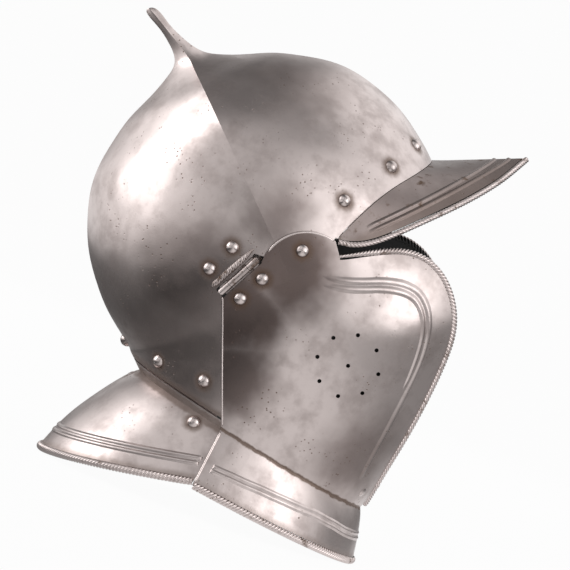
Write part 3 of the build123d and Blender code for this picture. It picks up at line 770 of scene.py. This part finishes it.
class HELMET_OT_notched_beads(bpy.types.Operator):
    """Notched beads on the skull beside both hinges"""

    bl_idname = "helmet.notched_beads"
    bl_label = "Notched beads"

    def execute(self, context):
        look = context.scene.helmet_look
        joints = {joint["name"]: joint for joint in frame["joints"]}
        profile = rope_profile(look, look.notch_radius)
        for side, hand in SIDES:
            axis = Vector(joints[side + "_cheek_hinge"]["axis"]).normalized()
            if axis.z < 0:
                axis = -axis
            node = side + "_hinge_notched_bead"
            path = even_path(eased(self.middle_line(node, axis, look), NOTCH_ROUNDS),
                             NOTCH_SPACING)
            sizes = []
            for i in range(len(path)):
                rows = min(i, (len(path) - 1 - i) * NOTCH_UPPER_SHARE)
                share = min(rows / NOTCH_END_ROWS, 1.0)
                sizes.append(NOTCH_END_SIZE
                             + (1 - NOTCH_END_SIZE) * math.sin(share * math.pi / 2))
            piece = twisted_piece(node + "_notches", look, path, NOTCH_SPACING, profile, -hand,
                                  sizes)
            dress(piece, "hinge_iron", "skull_body", node)
        remove(profile)
        return {"FINISHED"}

    def middle_line(self, node, axis, look):
        """Line along a bead's middle, laid on the skull."""
        mesh = frame["nodes"][node].data
        faces = [face for face in mesh.polygons if face.area > 0]
        middle = sum((face.center * face.area for face in faces), Vector())
        middle = middle / sum(face.area for face in faces)
        runs = [(vertex.co - middle).dot(axis) for vertex in mesh.vertices]
        low, high = min(runs), max(runs)
        skull = surface_tree("skull")
        path = []
        for i in range(NOTCH_STEPS + 1):
            place = middle + axis * (low + (high - low) * i / NOTCH_STEPS)
            found, normal, index, distance = skull.find_nearest(place)
            path.append(found + normal * (NOTCH_RISE * look.notch_radius))
        return path


# Materials

NUMBER = "NodeSocketFloat"
VECTOR = "NodeSocketVector"

# Painted shade: soft dark places, the same on both sides, standing in for shade
# and dark reflections on the iron: middle, the distances from it up to which
# they are full and beyond which they are gone, in metres, and strength
SKULL_PAINTED_SHADE = (
    ((-0.050, 0.085, 0.135), 0.020, 0.060, 0.60),
    ((-0.045, 0.070, 0.090), 0.020, 0.060, 0.50),
    ((-0.026, 0.026, 0.263), 0.012, 0.048, 0.62),
    ((-0.015, 0.082, 0.194), 0.010, 0.032, 0.62),
)
PEAK_PAINTED_SHADE = (((0.080, 0.040, 0.235), 0.075, 0.110, 0.62),)
CHEEK_PAINTED_SHADE = (
    ((0.002, 0.090, 0.168), 0.020, 0.046, 0.92),
    ((-0.016, 0.090, 0.130), 0.018, 0.040, 0.92),
    ((0.000, 0.080, 0.092), 0.012, 0.036, 0.85),
    ((0.084, 0.050, 0.072), 0.014, 0.050, 0.70),
)
# Brown bands: lowest and highest level, softness and strength. Those at the
# seams, rims and peak are rust; the one at the crease is a dark line of painted
# shade. Those at the seam and crease are measured from the neck ring, those at
# the rims from the rim and the peak's from the skull's frame
SEAM_BAND = (3 * MM, 7.5 * MM, 4 * MM, 0.55)
NAPE_SEAM_BAND = (-1 * MM, 4 * MM, 2 * MM, 0.55)
CREASE_SHADE_BAND = (0.8 * MM, 2.0 * MM, 1.1 * MM, 0.80)
NAPE_RIM_BAND = (-4 * MM, 4 * MM, 4 * MM, 0.40)
COLLAR_RIM_BAND = (-4 * MM, 4 * MM, 4 * MM, 0.30)
PEAK_BAND = (-45 * MM, -27 * MM, 6 * MM, 0.30)
# Points that the outsides of the plates look away from, forward and up in
# millimetres, and how much height counts against the other directions
SKULL_MIDDLE, SKULL_UPRIGHT = (0.0, -10.0), 1.0
PEAK_MIDDLE, PEAK_UPRIGHT = (60.0, -160.0), 1.0
NAPE_MIDDLE, NAPE_UPRIGHT = (-20.0, -20.0), 0.0
CHEEK_PLATE_MIDDLE, CHEEK_ROPE_MIDDLE, CHEEK_UPRIGHT = (-10.0, 40.0), (55.0, 60.0), 0.25
# Scales of the textures, in cells to the metre
CLOUD_SCALE, PATCH_SCALE, GRAIN_SCALE, WAVE_SCALE = 44.0, 95.0, 900.0, 42.0
PIT_SCALE, PIT_AREA_SCALE, RUST_SCALE = 330.0, 38.0, 130.0
HALO_EDGE_SCALE, SHADE_EDGE_SCALE, BAND_EDGE_SCALE = 260.0, 32.0, 150.0
# How ragged the edges of halos, the painted shade's dark places and bands are
HALO_EDGE, SHADE_EDGE, BAND_EDGE = 3 * MM, 34 * MM, 3 * MM
# Shares of the patch noise and clouds in the patina
PATCH_SHARE, CLOUD_SHARE = 0.45, 0.55
# Heights of the bumps in metres
WAVE_HEIGHT, GRAIN_HEIGHT, PIT_HEIGHT = 0.00055, 0.000016, -0.00010
# Levels of the rust texture between which spots set in, less a material's rust
RUST_LOW, RUST_HIGH = 0.62, 0.80
# Strengths of the colours
CLOUD_STRENGTH, PIT_STRENGTH, HALO_STRENGTH = 0.24, 0.75, 0.75
# What wear and the near-black insides do to roughness, and stains, with the
# crease's painted shade, to metal
PATINA_ROUGHNESS, STAIN_ROUGHNESS, GRAIN_ROUGHNESS, INSIDE_DARK_ROUGHNESS = 0.09, 0.22, 0.08, 0.55
STAIN_METAL = -0.45


class Wiring:
    """Short calls for placing and joining shader nodes."""

    def __init__(self, tree):
        self.tree = tree
        self.column = 0

    def add(self, kind, **settings):
        """New node, laid out in rows of twelve."""
        item = self.tree.nodes.new(kind)
        self.column += 1
        item.location = (self.column % 12 * 180, -(self.column // 12) * 260)
        for key, value in settings.items():
            setattr(item, key, value)
        return item

    def feed(self, socket, value):
        if isinstance(value, bpy.types.NodeSocket):
            self.tree.links.new(value, socket)
        else:
            socket.default_value = value

    def feed_all(self, sockets, values):
        for socket, value in zip(sockets, values):
            self.feed(socket, value)

    def fill(self, item, values):
        """Feeds a node's sockets by their names."""
        for name, value in values.items():
            self.feed(item.inputs[name], value)

    def math(self, operation, first, second=0.0, third=0.0):
        item = self.add("ShaderNodeMath", operation=operation)
        self.feed_all(item.inputs, (first, second, third))
        return item.outputs[0]

    def vector(self, operation, first, second=(0, 0, 0)):
        item = self.add("ShaderNodeVectorMath", operation=operation)
        self.feed_all(item.inputs, (first, second))
        return item.outputs["Value" if operation in ("DISTANCE", "DOT_PRODUCT") else "Vector"]

    def ramp(self, value, low, high, start=0.0, end=1.0):
        item = self.add("ShaderNodeMapRange", interpolation_type="SMOOTHSTEP")
        self.feed_all(item.inputs[:5], (value, low, high, start, end))
        return item.outputs[0]

    def fall(self, value, low, high):
        return self.ramp(value, low, high, start=1.0, end=0.0)

    def cover(self, below, mask, strength):
        """The greater of a mask and another one at some strength."""
        return self.math("MAXIMUM", below, self.math("MULTIPLY", mask, strength))

    def noise(self, place, scale, detail=3.0, roughness=0.5):
        item = self.add("ShaderNodeTexNoise")
        self.fill(item, {"Vector": place, "Scale": scale, "Detail": detail,
                         "Roughness": roughness})
        return item.outputs["Fac"]

    def mix(self, share, first, second):
        """Mix of two colours, by the node's sockets for colours."""
        item = self.add("ShaderNodeMix", data_type="RGBA")
        self.feed_all((item.inputs[0], item.inputs[6], item.inputs[7]), (share, first, second))
        return item.outputs[2]

    def combined(self, x, y, z):
        item = self.add("ShaderNodeCombineXYZ")
        self.feed_all(item.inputs, (x, y, z))
        return item.outputs[0]

    def separated(self, place):
        item = self.add("ShaderNodeSeparateXYZ")
        self.feed(item.inputs[0], place)
        return item.outputs

    def place(self):
        """Object coordinates."""
        return self.add("ShaderNodeTexCoord").outputs["Object"]

    def folded(self, place):
        """A place with the right side laid on the left one."""
        x, y, z = self.separated(place)
        return self.combined(x, self.math("ABSOLUTE", y), z)

    def group(self, name, values=()):
        """Outputs of a group's node, with values for its sockets in their order."""
        item = self.add("ShaderNodeGroup", node_tree=bpy.data.node_groups[name])
        self.feed_all(item.inputs, values)
        return item.outputs


def fresh_wiring(owner):
    """Wiring of a new material or world without nodes."""
    owner.use_nodes = True
    owner.node_tree.nodes.clear()
    return Wiring(owner.node_tree)


def new_group(name, inputs, outputs):
    """Empty node group with named sockets, and its wiring and end sockets."""
    group = bpy.data.node_groups.new(name, "ShaderNodeTree")
    for socket, value in inputs.items():
        kind = VECTOR if isinstance(value, tuple) else NUMBER
        item = group.interface.new_socket(name=socket, in_out="INPUT", socket_type=kind)
        item.default_value = value
    for socket in outputs:
        group.interface.new_socket(name=socket, in_out="OUTPUT", socket_type=NUMBER)
    wiring = Wiring(group)
    return wiring, wiring.add("NodeGroupInput").outputs, wiring.add("NodeGroupOutput").inputs


def wear_group():
    """Clouds of patina, fine pits and a bump height from Object coordinates."""
    wire, start, end = new_group("worn_iron", {"Patina Low": 0.42, "Patina High": 0.66},
                                 ("Patina", "Pits", "Grain", "Height"))
    place = wire.place()
    cloud = wire.noise(place, CLOUD_SCALE, detail=4.0, roughness=0.55)
    patch = wire.noise(place, PATCH_SCALE, roughness=0.6)
    blend = wire.math("MULTIPLY", cloud, CLOUD_SHARE)
    blend = wire.math("MULTIPLY_ADD", patch, PATCH_SHARE, blend)
    grain = wire.noise(place, GRAIN_SCALE, detail=2.0, roughness=0.6)
    cells = wire.add("ShaderNodeTexVoronoi")
    wire.fill(cells, {"Vector": place, "Scale": PIT_SCALE})
    dots = wire.fall(cells.outputs["Distance"], low=0.10, high=0.22)
    where = wire.ramp(wire.noise(place, PIT_AREA_SCALE, detail=2.0), low=0.52, high=0.66)
    pits = wire.math("MULTIPLY", dots, where)
    waves = wire.noise(place, WAVE_SCALE, detail=1.0, roughness=0.4)
    height = wire.math("MULTIPLY", waves, WAVE_HEIGHT)
    height = wire.math("MULTIPLY_ADD", grain, GRAIN_HEIGHT, height)
    height = wire.math("MULTIPLY_ADD", pits, PIT_HEIGHT, height)
    patina = wire.ramp(blend, start["Patina Low"], start["Patina High"])
    wire.feed_all(end, (patina, pits, grain, height))


def rivet_group(places):
    """Mask that is 1 at the rivets and fades out round them."""
    wire, start, end = new_group("rivet_halo", {"Near": 5.2 * MM, "Far": 10.5 * MM}, ("Mask",))
    place = wire.place()
    folded = wire.folded(place)
    nearest = 1.0
    for middle in places:
        away = wire.vector("DISTANCE", folded, tuple(middle))
        nearest = wire.math("MINIMUM", away, nearest)
    rough = wire.noise(place, HALO_EDGE_SCALE, roughness=0.6)
    ragged = wire.math("MULTIPLY_ADD", rough, HALO_EDGE, nearest)
    wire.feed(end["Mask"], wire.fall(ragged, start["Near"], start["Far"]))


def side_group():
    """Mask of a plate's inner side, which looks towards its middle point."""
    wire, start, end = new_group("plate_side", {"Middle": (0, 0, 0), "Upright": 1.0},
                                 ("Inside",))
    source = wire.add("ShaderNodeTexCoord")
    away = wire.vector("SUBTRACT", source.outputs["Object"], start["Middle"])
    away = wire.vector("MULTIPLY", away, wire.combined(1.0, 1.0, start["Upright"]))
    facing = wire.vector("DOT_PRODUCT", wire.vector("NORMALIZE", away), source.outputs["Normal"])
    wire.feed(end["Inside"], wire.ramp(facing, low=-0.30, high=-0.42))


def shade_patch_group():
    """Mask of a soft dark place of painted shade, the same on both sides."""
    wire, start, end = new_group("painted_shade_patch", {"Middle": (0, 0, 0), "Near": 0.02, "Far": 0.05},
                                 ("Mask",))
    place = wire.place()
    away = wire.vector("DISTANCE", wire.folded(place), start["Middle"])
    rough = wire.noise(place, SHADE_EDGE_SCALE, roughness=0.55)
    ragged = wire.math("MULTIPLY_ADD", rough, SHADE_EDGE, away)
    ragged = wire.math("SUBTRACT", ragged, SHADE_EDGE / 2)
    wire.feed(end["Mask"], wire.fall(ragged, start["Near"], start["Far"]))


def band_group():
    """Mask of a band between two levels along a direction."""
    wire, start, end = new_group(
        "level_band", {"Middle": (0, 0, 0), "Direction": (0, 0, 1), "Low": 0.0, "High": 0.0,
                       "Soft": 2 * MM}, ("Mask",))
    place = wire.place()
    away = wire.vector("SUBTRACT", place, start["Middle"])
    level = wire.vector("DOT_PRODUCT", away, start["Direction"])
    rough = wire.noise(place, BAND_EDGE_SCALE, roughness=0.6)
    level = wire.math("MULTIPLY_ADD", rough, BAND_EDGE, level)
    soft, low, high = start["Soft"], start["Low"], start["High"]
    rise = wire.ramp(level, wire.math("SUBTRACT", low, soft), low)
    fall = wire.fall(level, high, wire.math("ADD", high, soft))
    wire.feed(end["Mask"], wire.math("MULTIPLY", rise, fall))


def solid_middles(node):
    """Middles of the separate solids of a node."""
    source = bmesh.new()
    source.from_mesh(frame["nodes"][node].data)
    bmesh.ops.remove_doubles(source, verts=source.verts, dist=MERGE_GAP)
    left = set(source.verts)
    middles = []
    while left:
        stack = [left.pop()]
        group = [stack[0].co.copy()]
        while stack:
            for edge in stack.pop().link_edges:
                for vertex in edge.verts:
                    if vertex in left:
                        left.remove(vertex)
                        stack.append(vertex)
                        group.append(vertex.co.copy())
        middles.append(sum(group, Vector()) / len(group))
    source.free()
    return middles


def colour(values):
    """Red, green and blue with full cover, as a colour socket takes them."""
    return (*values, 1.0)


def iron_material(name, look, patina=(0.42, 0.66), side=None, bands=(), shade_patches=(), rust=0.0,
                  rivets=True, roughness=0.27, bright=1.0):
    """Worn iron: patina, pits, rust at rivets and seams, painted shade, a near-black inside."""
    wire = fresh_wiring(bpy.data.materials.new(name))
    shader = wire.add("ShaderNodeBsdfPrincipled")
    output = wire.add("ShaderNodeOutputMaterial")
    wire.feed(output.inputs[0], shader.outputs[0])

    wear = wire.group("worn_iron", patina)
    clouds = wire.math("MULTIPLY", wear["Patina"], CLOUD_STRENGTH)
    # Painted shade: dark places laid over the random clouds, in the grime and shade colour
    grime_and_shade = clouds
    for *values, strength in shade_patches:
        grime_and_shade = wire.cover(grime_and_shade, wire.group("painted_shade_patch", values)[0], strength)
    iron = tuple(channel * bright for channel in look.iron_colour)
    base = wire.mix(clouds, colour(iron), colour(look.patina_colour))
    base = wire.mix(grime_and_shade, base, colour(look.grime_and_shade_colour))

    # Stains and painted shade: pits, rust, rivet halos and bands, the crease's band being painted
    # shade
    stain_and_shade = wire.math("MULTIPLY", wear["Pits"], PIT_STRENGTH)
    if rust:
        spots = wire.noise(wire.place(), RUST_SCALE, detail=4.0, roughness=0.6)
        stain_and_shade = wire.math("MAXIMUM", stain_and_shade, wire.ramp(spots, RUST_LOW - rust, RUST_HIGH - rust))
    if rivets:
        stain_and_shade = wire.cover(stain_and_shade, wire.group("rivet_halo")[0], HALO_STRENGTH)
    for place, direction, (*levels, strength) in bands:
        band = wire.group("level_band", (place, direction, *levels))
        stain_and_shade = wire.cover(stain_and_shade, band[0], strength)
    base = wire.mix(stain_and_shade, base, colour(look.rust_and_shade_colour))

    rough = wire.math("MULTIPLY_ADD", wear["Patina"], PATINA_ROUGHNESS, roughness)
    rough = wire.math("MULTIPLY_ADD", stain_and_shade, STAIN_ROUGHNESS, rough)
    rough = wire.math("MULTIPLY_ADD", wear["Grain"], GRAIN_ROUGHNESS, rough)
    metal = wire.math("MULTIPLY_ADD", stain_and_shade, STAIN_METAL, 1.0)
    # The inner side is coloured near black, rougher and not metal
    if side:
        inside_dark = wire.group("plate_side", side)[0]
        base = wire.mix(inside_dark, base, colour(look.inside_dark_colour))
        metal = wire.math("MULTIPLY", metal, wire.math("SUBTRACT", 1.0, inside_dark))
        rough = wire.cover(rough, inside_dark, INSIDE_DARK_ROUGHNESS)
    bump = wire.add("ShaderNodeBump")
    wire.fill(bump, {"Distance": 1.0, "Strength": 1.0, "Height": wear["Height"]})
    wire.fill(shader, {"Base Color": base, "Metallic": metal, "Roughness": rough,
                       "Normal": bump.outputs[0]})


def plate_material(node):
    """Name of the material of a plate or of the roll at its edge."""
    if node.endswith("_roped_edge"):
        return "cheek_rope" if node.startswith(("right", "left")) else node[:4] + "_rope"
    if node.endswith("cheekpiece"):
        return "cheek_iron"
    return node.split("_")[0] + "_iron"


def assign(node, name):
    """Puts a material on a node of the part."""
    piece = frame["nodes"][node]
    material = bpy.data.materials[name]
    if not piece.material_slots:
        piece.data.materials.append(material)
    for slot in piece.material_slots:
        slot.material = material


def rim_plane(depths):
    """Place and upward direction of the plane of a flare's rim."""
    front, rear = rim_ends(depths)
    run = (front - rear).normalized()
    return tuple(rear), (-run.z, 0, run.x)


class HELMET_OT_finishes(bpy.types.Operator):
    """Iron and rust for every plate, rivet and hinge, with painted shade and near-black insides
    """

    bl_idname = "helmet.finishes"
    bl_label = "Finishes"

    def execute(self, context):
        look = context.scene.helmet_look
        rivet_nodes = [node for node in frame["nodes"] if "rivet" in node or node == "nape_pin"]
        places = []
        for node in rivet_nodes:
            if not node.endswith("throat_rivet"):
                places += [middle for middle in solid_middles(node) if middle.y > -1 * MM]
        wear_group()
        rivet_group(places)
        side_group()
        band_group()
        shade_patch_group()
        self.plates(look)
        self.ropes(look)
        # Painted highlight: the trims' iron is brighter and less patinated than the plates', for
        # a bright line along the real edges
        iron_material("trim_highlight_iron", look, patina=(0.50, 0.80), rivets=False, bright=1.12,
                      roughness=0.22)
        iron_material("rivet_iron", look, patina=(0.44, 0.70), rivets=False, rust=0.04,
                      roughness=0.20)
        iron_material("hinge_iron", look, patina=(0.36, 0.62), rivets=False, rust=0.12)
        for node in frame["nodes"]:
            if node in rivet_nodes:
                assign(node, "rivet_iron")
            elif "hinge" in node:
                assign(node, "hinge_iron")
            else:
                assign(node, plate_material(node))
        return {"FINISHED"}

    def plates(self, look):
        """Materials of the five plates."""
        neck = (tuple(NECK_FRAME.centre), tuple(NECK_FRAME.upward))
        skull = (tuple(SKULL_FRAME.centre), tuple(SKULL_FRAME.upward))
        # The skull, peak and cheekpieces get dark places of painted shade
        iron_material("skull_iron", look, shade_patches=SKULL_PAINTED_SHADE, bands=((*neck, SEAM_BAND),),
                      side=(tuple(SKULL_FRAME.place(*SKULL_MIDDLE)), SKULL_UPRIGHT))
        iron_material("peak_iron", look, patina=(0.30, 0.60), rust=0.06, shade_patches=PEAK_PAINTED_SHADE,
                      bands=((*skull, PEAK_BAND),),
                      side=(tuple(SKULL_FRAME.place(*PEAK_MIDDLE)), PEAK_UPRIGHT))
        iron_material("nape_iron", look,
                      bands=((*neck, NAPE_SEAM_BAND), (*rim_plane(NAPE_DEPTHS), NAPE_RIM_BAND)),
                      side=(tuple(NECK_FRAME.place(*NAPE_MIDDLE)), NAPE_UPRIGHT))
        # The band at the crease is a dark line of painted shade
        iron_material("cheek_iron", look, shade_patches=CHEEK_PAINTED_SHADE,
                      bands=((*neck, CREASE_SHADE_BAND), (*rim_plane(COLLAR_DEPTHS), COLLAR_RIM_BAND)),
                      side=(tuple(NECK_FRAME.place(*CHEEK_PLATE_MIDDLE)), CHEEK_UPRIGHT))

    def ropes(self, look):
        """Materials of the roped edges, brighter than the plates."""
        rope_look = {"patina": (0.48, 0.75), "rivets": False, "rust": 0.06, "bright": 1.08}
        for name, middle, upright in (
                ("cheek_rope", NECK_FRAME.place(*CHEEK_ROPE_MIDDLE), CHEEK_UPRIGHT),
                ("nape_rope", NECK_FRAME.place(*NAPE_MIDDLE), NAPE_UPRIGHT),
                ("peak_rope", SKULL_FRAME.place(*PEAK_MIDDLE), PEAK_UPRIGHT)):
            iron_material(name, look, side=(tuple(middle), upright), **rope_look)


# Stage

# Camera: directions of the picture's right and up, the place that it looks at
# in millimetres, its distance and clipping in metres, the sensor in millimetres
VIEW_RIGHT = (0.9379, -0.0446, 0.3469)
VIEW_UP = (-0.3475, 0.0767, 0.9385)
VIEW_TARGET = (11.7, 0.0, 149.4)
CAMERA_DISTANCE = 6.0
CLIP_START, CLIP_END = 0.1, 50.0
SENSOR_WIDTH = 36.0
# Lamps: name, place, width and height in metres, and share of the key power
LAMPS = (
    ("lamp_rear", (-1.25, 0.10, 0.42), 0.75, 1.1, 1.0),
    ("lamp_front", (0.95, -0.80, 0.60), 0.7, 1.0, 0.5),
    ("lamp_far", (0.0, 1.3, 0.6), 1.2, 0.8, 0.3),
)
LAMP_TARGET = (0.0, 0.0, 0.15)
# Floor: its size, its colour and how much of it the camera sees as pure white
FLOOR_SIZE = 60.0
FLOOR_COLOUR = (0.75, 0.74, 0.73)
FLOOR_WHITE = 0.96
# What the polish mirrors: soft boxes as direction, cosines of rim and core and
# level, and the level of the room round them
SOFT_BOXES = (
    ((-0.93, 0.35, 0.05), 0.66, 0.95, 1.10),
    ((0.72, -0.60, 0.36), 0.58, 0.97, 1.10),
    ((0.50, 0.45, 0.74), 0.68, 0.97, 1.25),
    ((-0.78, -0.40, 0.48), 0.74, 0.97, 0.70),
    ((0.05, -0.80, 0.60), 0.60, 0.97, 0.45),
)
ROOM_LEVEL = 0.17
# Plain light of the room on what doesn't mirror, and the camera's background
ROOM_COLOUR = (0.5, 0.5, 0.5)
WHITE = (1.0, 1.0, 1.0)


class HELMET_OT_stage(bpy.types.Operator):
    """Camera, lamps, floor and pale background"""

    bl_idname = "helmet.stage"
    bl_label = "Stage"

    def execute(self, context):
        scene = context.scene
        scene.view_settings.view_transform = "Standard"
        self.make_camera(scene)
        for name, place, width, height, share in LAMPS:
            self.make_lamp(name, place, width, height, scene.helmet_look.key_power * share)
        bpy.ops.mesh.primitive_plane_add(size=FLOOR_SIZE, location=(0, 0, 0))
        floor = named("floor")
        floor.data.materials.append(self.floor_material())
        self.make_world(scene)
        return {"FINISHED"}

    def make_camera(self, scene):
        right = Vector(VIEW_RIGHT).normalized()
        up = Vector(VIEW_UP)
        up = (up - right * up.dot(right)).normalized()
        back = right.cross(up)
        bpy.ops.object.camera_add(location=Vector(VIEW_TARGET) * MM + back * CAMERA_DISTANCE)
        camera = named("camera")
        camera.rotation_euler = Matrix((right, up, back)).transposed().to_euler()
        camera.data.sensor_width = SENSOR_WIDTH
        camera.data.lens = SENSOR_WIDTH * CAMERA_DISTANCE / scene.helmet_look.field
        camera.data.clip_start = CLIP_START
        camera.data.clip_end = CLIP_END
        scene.camera = camera

    def make_lamp(self, name, place, width, height, power):
        bpy.ops.object.light_add(type="AREA", location=place)
        lamp = named(name)
        lamp.data.shape = "RECTANGLE"
        lamp.data.size = width
        lamp.data.size_y = height
        lamp.data.energy = power
        aim = Vector(LAMP_TARGET) - Vector(place)
        lamp.rotation_euler = aim.to_track_quat("-Z", "Y").to_euler()

    def floor_material(self):
        """White to the camera, pale to the light, and shaded to the polish."""
        material = bpy.data.materials.new("pale_floor")
        wire = fresh_wiring(material)
        path = wire.add("ShaderNodeLightPath").outputs
        plain = wire.add("ShaderNodeBsdfDiffuse")
        wire.fill(plain, {"Color": colour(FLOOR_COLOUR)})
        glow = wire.add("ShaderNodeEmission")
        wire.fill(glow, {"Strength": 1.0})
        seen = wire.math("MULTIPLY", path["Is Camera Ray"], FLOOR_WHITE)
        pale = self.blend(wire, seen, plain, glow)
        across = wire.separated(wire.place())[0]
        front = wire.ramp(across, low=-0.16, high=0.03, start=0.14, end=1.05)
        beyond = wire.ramp(across, low=0.16, high=0.40, start=1.0, end=0.35)
        behind = wire.ramp(across, low=-0.30, high=-0.42)
        mirrored = wire.add("ShaderNodeEmission")
        wire.fill(mirrored, {"Strength": wire.math("MULTIPLY_ADD", front, beyond, behind)})
        shown = self.blend(wire, path["Is Glossy Ray"], pale, mirrored)
        output = wire.add("ShaderNodeOutputMaterial")
        wire.feed(output.inputs[0], shown.outputs[0])
        return material

    def blend(self, wire, share, first, second):
        """Mix of two shaders."""
        item = wire.add("ShaderNodeMixShader")
        wire.feed_all(item.inputs, (share, first.outputs[0], second.outputs[0]))
        return item

    def make_world(self, scene):
        """Soft boxes for the polish, plain light for the rest, white behind."""
        scene.world = bpy.data.worlds.new("studio")
        wire = fresh_wiring(scene.world)
        toward = wire.add("ShaderNodeTexCoord").outputs["Generated"]
        level = ROOM_LEVEL
        for direction, rim, core, strength in SOFT_BOXES:
            facing = wire.vector("DOT_PRODUCT", toward, Vector(direction).normalized())
            level = wire.math("MULTIPLY_ADD", wire.ramp(facing, rim, core), strength, level)
        path = wire.add("ShaderNodeLightPath").outputs
        studio = wire.add("ShaderNodeCombineColor")
        wire.feed_all(studio.inputs, (level, level, level))
        plain = wire.mix(path["Is Camera Ray"], colour(ROOM_COLOUR), colour(WHITE))
        glossy = wire.math("MAXIMUM", path["Is Glossy Ray"], path["Is Transmission Ray"])
        back = wire.add("ShaderNodeBackground")
        wire.feed(back.inputs[0], wire.mix(glossy, plain, studio.outputs[0]))
        output = wire.add("ShaderNodeOutputWorld")
        wire.feed(output.inputs[0], back.outputs[0])


class HELMET_PT_sidebar(bpy.types.Panel):
    """Sidebar panel with the steps in their order"""

    bl_idname = "HELMET_PT_sidebar"
    bl_label = "Burgonet"
    bl_space_type = "VIEW_3D"
    bl_region_type = "UI"
    bl_category = "Burgonet"

    def draw(self, context):
        for step in STEPS:
            self.layout.operator(step.bl_idname)
        for name in HelmetLook.__annotations__:
            self.layout.prop(context.scene.helmet_look, name)


STEPS = (HELMET_OT_stage, HELMET_OT_finishes, HELMET_OT_roped_edges, HELMET_OT_bead_lines,
         HELMET_OT_edge_trims, HELMET_OT_notched_beads)
CLASSES = (HelmetLook,) + STEPS + (HELMET_PT_sidebar,)


def register():
    for item in CLASSES:
        bpy.utils.register_class(item)
    bpy.types.Scene.helmet_look = PointerProperty(type=HelmetLook)


def unregister():
    del bpy.types.Scene.helmet_look
    for item in reversed(CLASSES):
        bpy.utils.unregister_class(item)


def main():
    register()
    clear_selection()
    bpy.ops.helmet.stage()
    bpy.ops.helmet.finishes()
    bpy.ops.helmet.roped_edges()
    bpy.ops.helmet.bead_lines()
    bpy.ops.helmet.edge_trims()
    bpy.ops.helmet.notched_beads()


if __name__ == "__main__":
    main()
